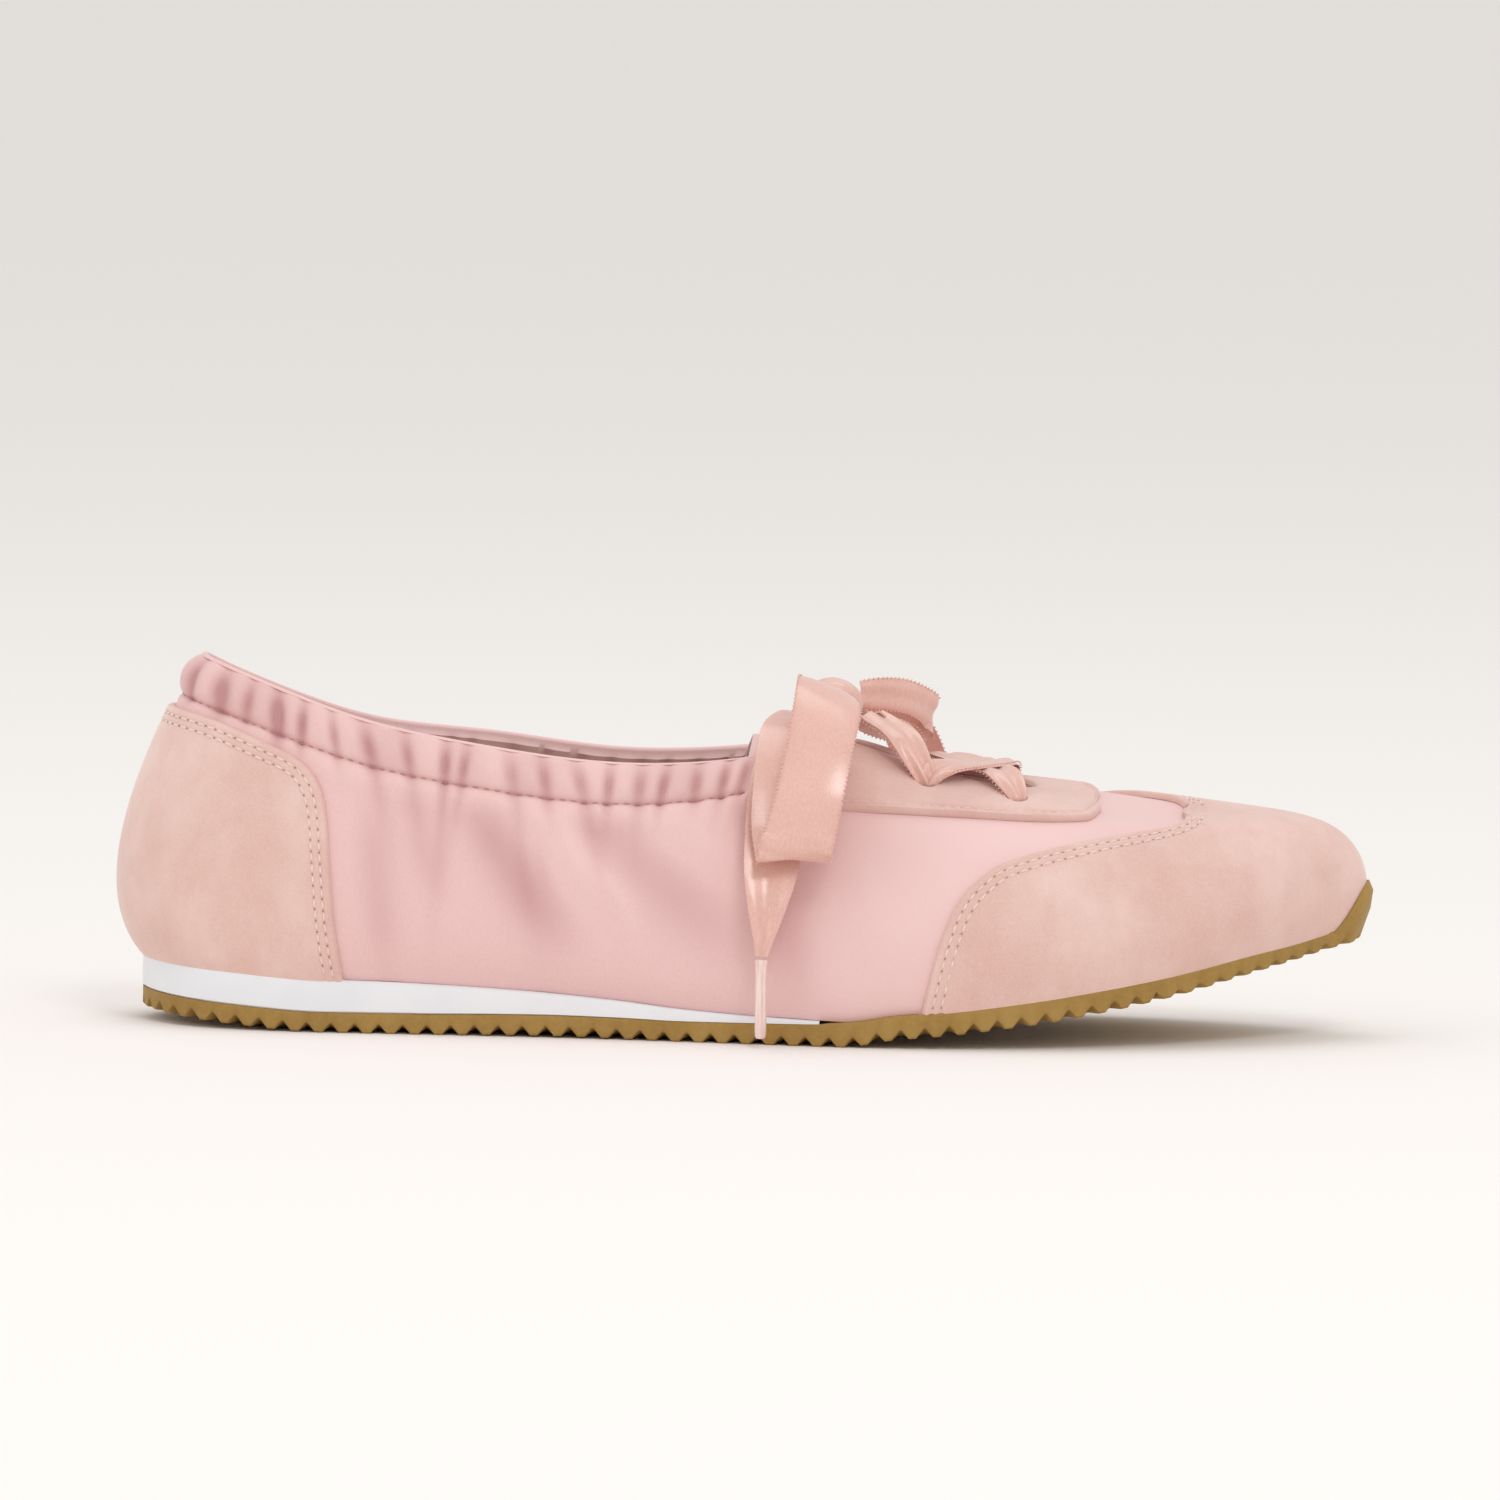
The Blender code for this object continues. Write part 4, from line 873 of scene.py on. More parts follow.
def tube(columns, ends=()):
    """Places and faces of a grid closed round its rows, and across the end columns named."""
    spots = np.array(columns)
    cols, rows = spots.shape[:2]
    faces = grid_faces(cols, rows)
    faces += [(a, a + rows - 1, a + 2 * rows - 1, a + rows) for a in range(0, (cols - 1) * rows, rows)]
    faces += [tuple(end % cols * rows + j for j in range(rows)) for end in ends]
    return spots.reshape(-1, 3), faces


def run_along(spots):
    """Distance along an array of places, at each of them."""
    return np.concatenate([[0], np.cumsum(np.linalg.norm(np.diff(spots, axis=0), axis=1))])


def between(at, run, values):
    """The row of three values at a distance along a run."""
    return np.array([np.interp(at, run, values[:, k]) for k in range(3)])


def sheet(columns):
    """Places and outward normals of a grid of (turn, v) places."""
    spots = np.array([[place(rib_point(t, v)) for t, v in column_of] for column_of in columns])
    facing = np.array([[normal(t, v) for t, v in column_of] for column_of in columns])
    return spots, facing


def arc_places(turn, low, high, near):
    """Shares down a rib: set distances from its high end, then even to the low end.

    near holds the set distances and how many even rows follow them.
    """
    wanted, rows = near
    fine = steps(low, high, 60)
    run = run_of([rib_point(turn, v) for v in fine])
    whole = run[-1]
    shrink = min(1.0, whole / (wanted[-1] * 1.6))
    down = [w * shrink for w in wanted]
    down += [down[-1] + (whole - down[-1]) * i / rows for i in range(1, rows + 1)]
    return [float(np.interp(whole - d, run, fine)) for d in down]


def smooth_step(low, high, value):
    t = np.clip((np.asarray(value, float) - low) / (high - low), 0, 1)
    return t * t * (3 - 2 * t)


def to_line(spots, line):
    """Distance from each place to a line of close points."""
    flat = spots.reshape(-1, 3)
    best = np.full(len(flat), 1.0)
    for a, b in zip(line, line[1:]):
        run = b - a
        size = run @ run
        if size < 1e-14:
            continue
        share = np.clip((flat - a) @ run / size, 0, 1)
        best = np.minimum(best, np.linalg.norm(flat - a - share[:, None] * run, axis=1))
    return best.reshape(spots.shape[:-1])


def trough(away, middle, width):
    """A bell of height 1 about the middle distance."""
    return np.exp(-((away - middle) / width) ** 2)


# Stitches


def stitches(name, lines, pitch, slot, look, length=0.62, girth=0.00023, proud=0.0001, holes=False):
    """One joined mesh of short threads along lines of (place, normal)."""
    points = []
    faces = []
    hole_points = []
    hole_faces = []
    for spots, facing in lines:
        run = run_along(spots)
        count = int(run[-1] / pitch)
        for i in range(count):
            middle = (i + 0.5) * run[-1] / count
            ends = [between(middle + way * pitch * length / 2, run, spots) for way in (-1, 1)]
            up = between(middle, run, facing)
            up /= np.linalg.norm(up)
            add_stitch(points, faces, ends, up, girth, proud)
            if holes:
                along = ends[1] - ends[0]
                before = ends[0] - along * (1 - length) / length / 2
                add_hole(hole_points, hole_faces, before, along, up)
    if holes:
        finish_piece(name + "_holes", hole_points, hole_faces, [PINHOLE_SHADE], slot)
    finish_piece(name, points, faces, [look], slot)


HOLE_RADIUS = 0.00025
HOLE_PROUD = 0.00006
HOLE_SPOKES = 8


def add_hole(points, faces, middle, along, up):
    """Painted shade of a needle hole: a small dark disc just proud of the face."""
    along = along / np.linalg.norm(along)
    across = np.cross(along, up)
    start = len(points)
    for k in range(HOLE_SPOKES):
        angle = math.tau * k / HOLE_SPOKES
        way = along * math.cos(angle) + across * math.sin(angle)
        points.append(middle + way * HOLE_RADIUS + up * HOLE_PROUD)
    faces.append(tuple(range(start, start + HOLE_SPOKES)))


# Length of a stitch and its gap together
CASING_PITCH = 0.0023
COUNTER_PITCH = 0.0024
CAP_PITCH = 0.0026
STAY_PITCH = 0.0021
STITCH_SPOKES = 6

# Place along a stitch and width there, as shares
STITCH_RINGS = ((0.0, 0.25), (0.12, 0.8), (0.5, 1.0), (0.88, 0.8), (1.0, 0.25))


def add_stitch(points, faces, ends, up, girth, proud):
    along = ends[1] - ends[0]
    across = np.cross(along, up)
    across /= np.linalg.norm(across)
    start = len(points)
    for share, wide in STITCH_RINGS:
        middle = ends[0] + along * share + up * (proud + girth * (wide - 1) * 1.6)
        for k in range(STITCH_SPOKES):
            angle = math.tau * k / STITCH_SPOKES
            points.append(middle + (across * math.cos(angle) + up * math.sin(angle)) * girth * wide)
    for i in range(len(STITCH_RINGS) - 1):
        for k in range(STITCH_SPOKES):
            a = start + i * STITCH_SPOKES + k
            b = start + i * STITCH_SPOKES + (k + 1) % STITCH_SPOKES
            faces.append((a, b, b + STITCH_SPOKES, a + STITCH_SPOKES))
    for first in (start, start + (len(STITCH_RINGS) - 1) * STITCH_SPOKES):
        faces.append(tuple(range(first, first + STITCH_SPOKES)))


def row_at(spots, facing, away, wanted):
    """The line across a grid where the distance from its edge is the wanted one."""
    line = []
    up = []
    for column_spots, column_up, column_away in zip(spots, facing, away):
        if column_away.max() < wanted or column_away.min() > wanted:
            continue
        j = int(np.argmax(column_away >= wanted))
        if j == 0:
            continue
        share = (wanted - column_away[j - 1]) / (column_away[j] - column_away[j - 1])
        line.append(column_spots[j - 1] * (1 - share) + column_spots[j] * share)
        up.append(column_up[j - 1] * (1 - share) + column_up[j] * share)
    return np.array(line), np.array(up)


# The upper

# Stations of one side and how far each lies along the rim from the heel
RIM = (steps(0, LAST, RUN_STEPS), run_of([top_of(s) for s in steps(0, LAST, RUN_STEPS)]))

# Gathers of the collar: distance along the rim from the heel, half width, depth in
# the casing and how far the crease runs on below it, all in millimetres; then its lean.
GATHERS_NEAR = in_metres(
    range(4),
    (6, 1.6, 1, 0, 0), (12.5, 2.2, 1.1, 3, 0.1), (19, 1.4, 0.8, 2, 0), (25, 1.8, 1.2, 6, 0.1),
    (31, 1.3, 1, 4, 0), (37, 1.2, 0.8, 3, 0.2), (44, 2, 0.9, 12, 0.3), (53, 1.5, 0.8, 8, 0.2),
    (62, 1.3, 1, 16, 0), (66.5, 1.2, 0.8, 10, -0.1), (75, 1.8, 0.7, 20, 0.2), (82, 1.4, 0.8, 6, 0.2),
    (89, 1.6, 0.8, 14, 0.3), (96.5, 1.2, 0.9, 5, 0), (103, 1.5, 0.8, 7, 0), (108.5, 1.2, 0.9, 4, -0.1),
    (115, 1.4, 0.8, 3, 0), (121.5, 1.2, 0.9, 3, -0.1), (127, 1.4, 0.7, 3, -0.2),
    (134, 1.8, 0.8, 3, 0.1),
)
GATHERS_FAR = in_metres(
    range(4),
    (9, 1.8, 0.9, 2, 0), (16, 1.5, 1.1, 4, 0), (22, 2, 0.9, 3, 0.1), (29, 1.3, 1, 5, 0),
    (34, 1.2, 0.8, 3, 0.1), (41, 1.8, 0.9, 10, 0.2), (49, 1.6, 1, 6, 0), (58, 1.4, 0.8, 14, 0.2),
    (64, 1.2, 0.9, 6, 0), (71, 1.8, 0.8, 16, 0.1), (79, 1.3, 0.9, 8, -0.1), (86, 1.7, 0.8, 12, 0.2),
    (93, 1.2, 0.9, 5, 0), (99.5, 1.5, 0.9, 8, 0), (106, 1.2, 0.8, 4, 0), (112, 1.6, 0.9, 3, 0.1),
    (119, 1.3, 0.8, 4, -0.1), (126, 1.4, 0.9, 3, 0), (133, 1.6, 0.8, 3, 0),
)

# Soft folds of the quarter, in millimetres: from and to, as place along the shoe and
# height, then half width and depth; a ridge has a depth below zero.
FOLDS = in_metres(
    range(6),
    (74, 46, 92, 20, 5.5, 1.1), (84, 48, 104, 26, 4.8, -0.9), (60, 50, 66, 30, 4, 0.55),
    (94, 47, 128, 20, 7, 0.8), (112, 46, 136, 32, 5, -0.7), (52, 44, 56, 14, 3.5, 0.6),
    (132, 50, 140, 12, 4.8, 0.9), (146, 44, 160, 18, 6, -0.6), (86, 43, 89, 32, 1.3, 0.35),
    (90.5, 44, 93, 34, 1.2, 0.3),
)
CASING_PUFF = 0.0011
HEEL_PUFF = 0.9  # the casing stands out further over the heel, by this share
HEEL_PUFF_REACH = 0.016
SEAM_DIP = 0.0005
SEAM_WIDTH = 0.0006
# Width of the painted shade along the seam's dip
SEAM_SHADE_WIDTH = 0.0005


def crease(run, below, table):
    """Depth of the gathers at a distance along the rim and below it."""
    deep = np.zeros_like(run)
    for at, half, depth, runs_on, lean in table:
        across = (run - at - lean * below) / (half * (1 + 18 * np.maximum(below - CASING_DEPTH, 0)))
        in_casing = trough(below, 0.6 * CASING_DEPTH, 0.55 * CASING_DEPTH)
        past = np.exp(-np.maximum(below - CASING_DEPTH, 0) / max(runs_on, 0.0008))
        past *= below > CASING_DEPTH * 0.8
        deep += depth * np.exp(-across**2) * np.maximum(in_casing, 0.75 * past)
    return deep


def folds(spots):
    """Depth of the quarter's folds. Both sides share them."""
    deep = np.zeros(spots.shape[:-1])
    x = spots[..., 0] + HEEL_REST
    z = spots[..., 2]
    for x0, z0, x1, z1, half, depth in FOLDS:
        size = math.hypot(x1 - x0, z1 - z0)
        ux, uz = (x1 - x0) / size, (z1 - z0) / size
        on = ((x - x0) * ux + (z - z0) * uz) / size
        across = (x - x0) * uz - (z - z0) * ux
        ends = smooth_step(-0.35, 0.25, on) * (1 - smooth_step(0.6, 1.3, on))
        deep += depth * ends * np.exp(-((across / half) ** 2))
    return deep


# Rows down a rib: set distances from the rim, then a count of even rows
UPPER_ROWS = (
    tuple(0.00075 * i for i in range(12)) + (0.0087, 0.009, 0.0093, 0.0098, 0.0105, 0.0115, 0.013, 0.015), 22
)
BRIDGE_STEPS = (1.0, 0.8, 0.6, 0.4, 0.2)
ROLL = tuple(math.pi * i / 6 for i in range(1, 6))
LINING_FROM = 0.0175  # below the rim, inside
RIM_PITCH = 0.0006  # between stations along the collar
GATHER_SHARE = 1.25  # of a gather's depth, outside
RIPPLE_SHARE = 0.6  # of a gather's depth, inside
FOLD_SHARE = 1.3  # of a fold's depth
EYELET_PIT = 0.0014
BLOOM = 0.0006  # swell of the satin under the casing
BLOOM_DEPTH = 0.0125  # below the rim
BLOOM_WIDTH = 0.003
BARE_FROM = (0.0477, 0.052)  # heel bulge to where the folds begin and stand in full
FOLDS_FROM = (0.009, 0.016)  # the same, below the rim
THINS_FROM = (0.009, 0.011)  # below the rim, where the casing's wall becomes the upper's

# Painted shade on the satin, for creases a millimetre deep: in gathers and folds, along the seam's dip, along
# the casing and inside the shoe
CREASE_UNIT = 0.001
GATHER_SHADE = 1.05
FOLD_SHADE = 0.55
SEAM_SHADE = 0.3
CASING_SHADE = 0.14
INSIDE_SHADE = 0.12
RIPPLE_SHADE = 0.9


def upper_stations():
    fine, run = RIM
    collar_end = station_at_top(CASING_FRONT + 0.006)
    collar_run = float(np.interp(collar_end, fine, run))
    found = [float(np.interp(r, run, fine)) for r in steps(0, collar_run, round(collar_run / RIM_PITCH))]
    found += steps(collar_end, LAST, 92)[1:]
    found += throat_stations()
    return sorted(set(found))


def eyelet_spots():
    """Middle and outward normal of each eyelet, the near side first."""
    found = []
    for x in EYELET_PLACES:
        s = station_at_top(x)
        for turn in (s, TURNS - s):
            v = share_below_top(turn, EYELET_EDGE)
            found.append((Vector(place(rib_point(turn, v))), normal(turn, v)))
    return found


EYELETS = eyelet_spots()


def pits(spots, reach):
    """1 in the middle of each eyelet, falling to 0 at its edge."""
    deep = np.zeros(spots.shape[:-1])
    for middle, _ in EYELETS:
        away = np.linalg.norm(spots - np.array(middle), axis=-1)
        deep = np.maximum(deep, 1 - smooth_step(reach * 0.8, reach * 1.1, away))
    return deep


def make_upper():
    one_side = upper_stations()
    turns = one_side + [TURNS - s for s in one_side[-2:0:-1]]
    columns = []
    shut = []
    for turn in turns:
        closed_by = bridged(turn)
        shut.append(closed_by == 1)
        over = [(turn, 1 + closed_by * f) for f in BRIDGE_STEPS]
        columns.append(over + [(turn, v) for v in arc_places(turn, 0, 1, UPPER_ROWS)])
    spots, facing = sheet(columns)
    top = len(BRIDGE_STEPS)
    below = np.zeros(spots.shape[:-1])
    below[:, top + 1:] = np.cumsum(np.linalg.norm(np.diff(spots[:, top:], axis=1), axis=2), axis=1)
    run = np.array([np.interp(min(t, TURNS - t), *RIM) for t in turns])[:, None] + 0 * below
    near = np.array([t <= LAST for t in turns])[:, None]
    along = spots[..., 0] + HEEL_REST
    casing = 1 - smooth_step(CASING_FRONT - 0.002, CASING_FRONT + 0.001, along[:, top])[:, None]
    casing = casing * np.ones_like(below)
    casing[:, :top] = 0
    counter = edge_curve(COUNTER_EDGE, HEEL_HEIGHT)
    edge = np.array([[counter(x) for x in row] for row in along])
    bare = np.maximum(smooth_step(*BARE_FROM, along), smooth_step(edge, edge + 0.003, spots[..., 2]))
    gather = np.where(near, crease(run, below, GATHERS_NEAR), crease(run, below, GATHERS_FAR)) * casing
    fold = folds(spots) * bare * smooth_step(*FOLDS_FROM, below)
    puff = CASING_PUFF * np.sin(math.pi * np.clip(below / CASING_DEPTH, 0, 1)) ** 0.8
    puff *= 1 + HEEL_PUFF * trough(run, 0, HEEL_PUFF_REACH)
    bloom = BLOOM * trough(below, BLOOM_DEPTH, BLOOM_WIDTH) * bare
    dip = SEAM_DIP * trough(below, CASING_DEPTH, SEAM_WIDTH)
    hole = pits(spots, EYELET / 2)
    off = (puff + bloom - dip) * casing - GATHER_SHARE * gather * np.where(below > CASING_DEPTH, bare, 1)
    off = off - FOLD_SHARE * fold - hole * EYELET_PIT
    outer = spots + facing * off[..., None]
    # Painted shade: in the gathers and folds, along the seam's dip, in the eyelet pits, and along the casing,
    # wavering along it
    seam_shade = trough(below, CASING_DEPTH, SEAM_SHADE_WIDTH) * casing
    mark = GATHER_SHADE * (gather / CREASE_UNIT) ** 1.4 + FOLD_SHADE * np.maximum(fold, 0) / CREASE_UNIT
    mark += SEAM_SHADE * seam_shade + hole
    casing_shade = CASING_SHADE + 0.1 * np.sin(run * 310 + 1.7 * np.sin(run * 95))
    mark += casing_shade * casing * (below < CASING_DEPTH)
    thick = UPPER_WALL + (CASING_WALL - UPPER_WALL) * casing * (1 - smooth_step(*THINS_FROM, below))
    ripple = np.where(near, crease(run, below, GATHERS_FAR), crease(run, below, GATHERS_NEAR)) * casing
    inner_all = spots - facing * (thick - RIPPLE_SHARE * ripple + FOLD_SHARE * np.maximum(fold, 0))[..., None]
    last = spots.shape[1] - 1
    keep = sorted({*range(0, last, 2), last})
    inner = inner_all[:, keep]
    # Painted shade over the inside of the shoe, deeper in the casing's ripples
    inner_mark = (INSIDE_SHADE + RIPPLE_SHADE * ripple / CREASE_UNIT)[:, keep]
    shy = [1 + bridged(t) - (0.02 if bridged(t) > 0.05 else 0.04) for t in turns]
    ends = np.array([[place(rib_point(t, v))] for t, v in zip(turns, shy)])
    rise = spots[:, 0] - ends[:, 0]
    rise /= np.maximum(np.linalg.norm(rise, axis=1), 1e-9)[:, None]
    half = (outer[:, 0] - inner[:, 0]) / 2
    centre = (outer[:, 0] + inner[:, 0]) / 2
    size = np.linalg.norm(half, axis=1)[:, None]
    roll = [centre + half * math.cos(a) + rise * size * math.sin(a) for a in ROLL]
    whole = np.concatenate([outer[:, ::-1], np.stack(roll, axis=1), inner], axis=1)
    marks = np.concatenate([mark[:, ::-1], np.repeat(mark[:, :1], len(ROLL), axis=1), inner_mark], axis=1)
    rows = whole.shape[1]
    lining_row = last + len(ROLL) + 1 + int(np.argmax(below[0, keep] > LINING_FROM))
    faces = []
    kinds = []
    for i in range(len(turns)):
        k = (i + 1) % len(turns)
        for j in range(rows - 1):
            if shut[i] and shut[k] and last <= j < last + len(ROLL) + 1:
                continue
            faces.append((i * rows + j, k * rows + j, k * rows + j + 1, i * rows + j + 1))
            kinds.append(1 if j >= lining_row else 0)
    points = whole.reshape(-1, 3)
    finish_piece("upper_satin", points, faces, [SATIN, LINING], "satin", ["upper"], marks.ravel(), kinds, 55)
    on_casing = [i for i, t in enumerate(turns) if LENGTH * TOP_X(t) < CASING_FRONT]
    order = [i for i in on_casing if turns[i] > LAST] + [i for i in on_casing if turns[i] <= LAST]
    line = row_at(*(values[order][:, top:] for values in (outer, facing, below)), CASING_DEPTH)
    stitches("casing_stitches", [line], CASING_PITCH, "satin", DARK_THREAD, girth=0.00019, proud=0.00012)


# Suede overlays
EDGE_ROWS = (
    (0, 0.0002, 0.0005, 0.0009, 0.0013, 0.0017, 0.0021, 0.0026, 0.0031, 0.0035, 0.004, 0.0048, 0.006), 34
)
STITCH_ROWS = (0.0019, 0.0036)
EDGE_ROUND = 0.0009
UNDERSIDE = 0.0001  # suede's lower face off the satin
DENT_WIDTH = 0.0004
# Width of the painted shade along stitch rows and the eyestay's turned edge, and of that edge's dent
TONE_WIDTH = 0.0003


def raised(away, rows, trough_depth=0.00024):
    """Height of suede off the satin, rounded at its edge and dented by stitches."""
    bend = np.sqrt(1 - (1 - np.clip(away / EDGE_ROUND, 0, 1)) ** 2)
    high = OVERLAY_GAP + OVERLAY * (0.2 + 0.8 * bend)
    for row in rows:
        high = high - trough_depth * trough(away, row, DENT_WIDTH)
    return high


def suede_patch(node, columns, edge_of, rows):
    """A raised patch with a skirt along its first row. Returns what stitches need."""
    spots, facing = sheet(columns)
    away = to_line(spots, edge_of(spots))
    outer = spots + facing * raised(away, rows)[..., None]
    skirt = spots[:, :1] + facing[:, :1] * UNDERSIDE
    whole = np.concatenate([skirt, outer], axis=1)
    # Painted shade along the patch's edge and in its stitch rows
    dark = 0.35 * trough(away, 0, DENT_WIDTH) + 0.25 * sum(trough(away, row, TONE_WIDTH) for row in rows)
    marks = np.concatenate([dark[:, :1], dark], axis=1)
    faces = grid_faces(*whole.shape[:2])
    points = whole.reshape(-1, 3)
    finish_piece(f"{node}_suede", points, faces, [SUEDE], "suede", [node], marks.ravel(), smooth=60)
    return outer, facing, away


def make_counter():
    edge = edge_curve(COUNTER_EDGE, HEEL_HEIGHT)
    last = station_at_foot(COUNTER_EDGE[-1][0] * LENGTH)
    corner = station_at_foot(COUNTER_EDGE[3][0] * LENGTH)
    s_list = steps(0, corner, 46) + closing_in(corner, last, 40)[1:]
    turns = [TURNS - s for s in s_list[:0:-1]] + s_list

    def column_of(turn):
        low = overlay_foot(turn)
        high = max(meets_edge(turn, edge), low)
        return [(turn, v) for v in arc_places(turn, low, high, EDGE_ROWS)]

    columns = [column_of(t) for t in turns]
    grid = suede_patch("heel_counter", columns, lambda spots: spots[:, 0], STITCH_ROWS)
    lines = [row_at(*grid, row) for row in STITCH_ROWS]
    stitches("heel_counter_stitches", lines, COUNTER_PITCH, "suede", THREAD, holes=True)


def make_toe_cap():
    edge = edge_curve(CAP_EDGE, TOE_HEIGHT)
    first = station_at_foot(CAP_EDGE[0][0] * LENGTH)
    tip = station_at_top(CAP_EDGE[-1][0] * LENGTH)
    eased_in = [(1 - math.cos(math.pi * f)) / 2 for f in steps(0, 1, 84)]
    one_side = [first + (tip - first) * f for f in eased_in] + steps(tip, LAST, 40)[1:]
    turns = one_side + [TURNS - s for s in one_side[-2::-1]]
    cut_edge = [i for i, t in enumerate(turns) if min(t, TURNS - t) <= tip]

    def column_of(turn):
        low = overlay_foot(turn)
        s = min(turn, TURNS - turn)
        high = 2.0 if s >= tip else max(meets_edge(s, edge), low)
        return [(turn, v) for v in arc_places(turn, low, high, EDGE_ROWS)]

    columns = [column_of(t) for t in turns]
    grid = suede_patch("toe_cap", columns, lambda spots: spots[cut_edge, 0], STITCH_ROWS)
    middle = len(turns) // 2
    lines = []
    for row in STITCH_ROWS:
        for part in (slice(0, middle + 1), slice(middle, None)):
            lines.append(row_at(*(a[part] for a in grid), row))
    stitches("toe_cap_stitches", lines, CAP_PITCH, "suede", THREAD, holes=True)


EYESTAY_FOLD = 0.0019  # from the lower edge to the turned edge's stitches
FOLD_DENT = 0.00035


def make_eyestay():
    rear = station_at_top(EYESTAY_REAR)
    front = station_at_top(EYESTAY_FRONT)
    rounded = throat_stations()
    edge = edge_curve(EYESTAY_EDGE, INSTEP_HEIGHT)
    one_side = sorted(set(steps(rear, front, 100) + rounded))
    points = []
    faces = []
    marks = []
    lines = []
    for flip in (False, True):
        turns = [side_turn(flip, s) for s in one_side]
        columns = []
        for turn, s in zip(turns, one_side):
            over = [(turn, 1 + bridged(turn) * f) for f in BRIDGE_STEPS]
            down = steps(1, meets_edge(s, edge), 26)
            columns.append(over + [(turn, v) for v in down])
        spots, facing = sheet(columns)
        open_part = [i for i, t in enumerate(turns) if bridged(t) < 1]
        border = np.concatenate([spots[open_part[::-1], 0], spots[0], spots[:, -1], spots[-1][::-1]])
        away = to_line(spots, border)
        outer = spots + facing * raised(away, (), 0)[..., None]
        low_away = to_line(spots, spots[:, -1])
        outer -= facing * (FOLD_DENT * trough(low_away, EYESTAY_FOLD, TONE_WIDTH))[..., None]
        under = spots + facing * UNDERSIDE
        cols, rows = spots.shape[:2]
        start = len(points)
        points += list(outer.reshape(-1, 3)) + list(under.reshape(-1, 3))
        # Painted shade along the edge and in the turned edge's dent
        dark = 0.3 * trough(away, 0, DENT_WIDTH) + 0.35 * trough(low_away, EYESTAY_FOLD, TONE_WIDTH)
        marks += list(np.concatenate([dark.ravel(), dark.ravel()]))
        faces += grid_faces(cols, rows, start)
        faces += [f[::-1] for f in grid_faces(cols, rows, start + cols * rows)]
        shift = cols * rows
        ring = [(i, rows - 1) for i in range(cols)]
        walls = list(zip(ring, ring[1:]))
        walls += [((0, j), (0, j + 1)) for j in range(rows - 1)]
        walls += [((cols - 1, j), (cols - 1, j + 1)) for j in range(rows - 1)]
        walls += [((i, 0), (k, 0)) for i, k in zip(range(cols), range(1, cols)) if i in open_part]
        for (i, j), (k, m) in walls:
            a, b = start + i * rows + j, start + k * rows + m
            faces.append((a, b, b + shift, a + shift))
        lines.append(row_at(outer[:, ::-1], facing[:, ::-1], low_away[:, ::-1], EYESTAY_FOLD))
    made = finish_piece(
        "eyestay_suede", points, faces, [SUEDE], "suede", ["eyestay"], np.array(marks), smooth=50
    )
    work = bmesh.new()
    work.from_mesh(made.data)
    bmesh.ops.recalc_face_normals(work, faces=work.faces)
    work.to_mesh(made.data)
    work.free()
    cut_eyelets(made)
    stitches("eyestay_stitches", lines, STAY_PITCH, "suede", THREAD, length=0.7, girth=0.00014, proud=0.00002)


CUT_DEPTH = 0.012


def cut_eyelets(target):
    for middle, out in EYELETS:
        work = bmesh.new()
        bmesh.ops.create_cone(
            work, cap_ends=True, segments=32, radius1=EYELET / 2, radius2=EYELET / 2, depth=CUT_DEPTH
        )
        turn = out.to_track_quat("Z", "Y").to_matrix().to_4x4()
        turn.translation = middle
        bmesh.ops.transform(work, matrix=turn, verts=work.verts)
        mesh = bpy.data.meshes.new("eyelet_cutter")
        work.to_mesh(mesh)
        work.free()
        cutter = linked("eyelet_cutter", mesh)
        step = target.modifiers.new("eyelet", "BOOLEAN")
        step.operation = "DIFFERENCE"
        step.solver = "EXACT"
        step.object = cutter
        graph = bpy.context.evaluated_depsgraph_get()
        baked = bpy.data.meshes.new_from_object(target.evaluated_get(graph))
        target.modifiers.clear()
        target.data = baked
        bpy.data.objects.remove(cutter)


# Sole

# Places where a tooth has a section, as shares of its pitch
TOOTH_MARKS = (0, 0.15, TOOTH_LAND, 0.36, 0.5, 0.6, 0.65, 0.7, 0.8, 0.94)
SOLE_BEVEL = 0.0004
SEALED = 0.00005  # cemented pieces lie this close


def notch(share):
    """Depth of the notch between two teeth, 0 on the land and 1 in the root."""
    if share <= TOOTH_LAND:
        return 0.0
    away = abs(share - (1 + TOOTH_LAND) / 2) / ((1 - TOOTH_LAND) / 2)
    return min(1.0, 1.12 * (1 - away)) if away > 0.1 else 1.0


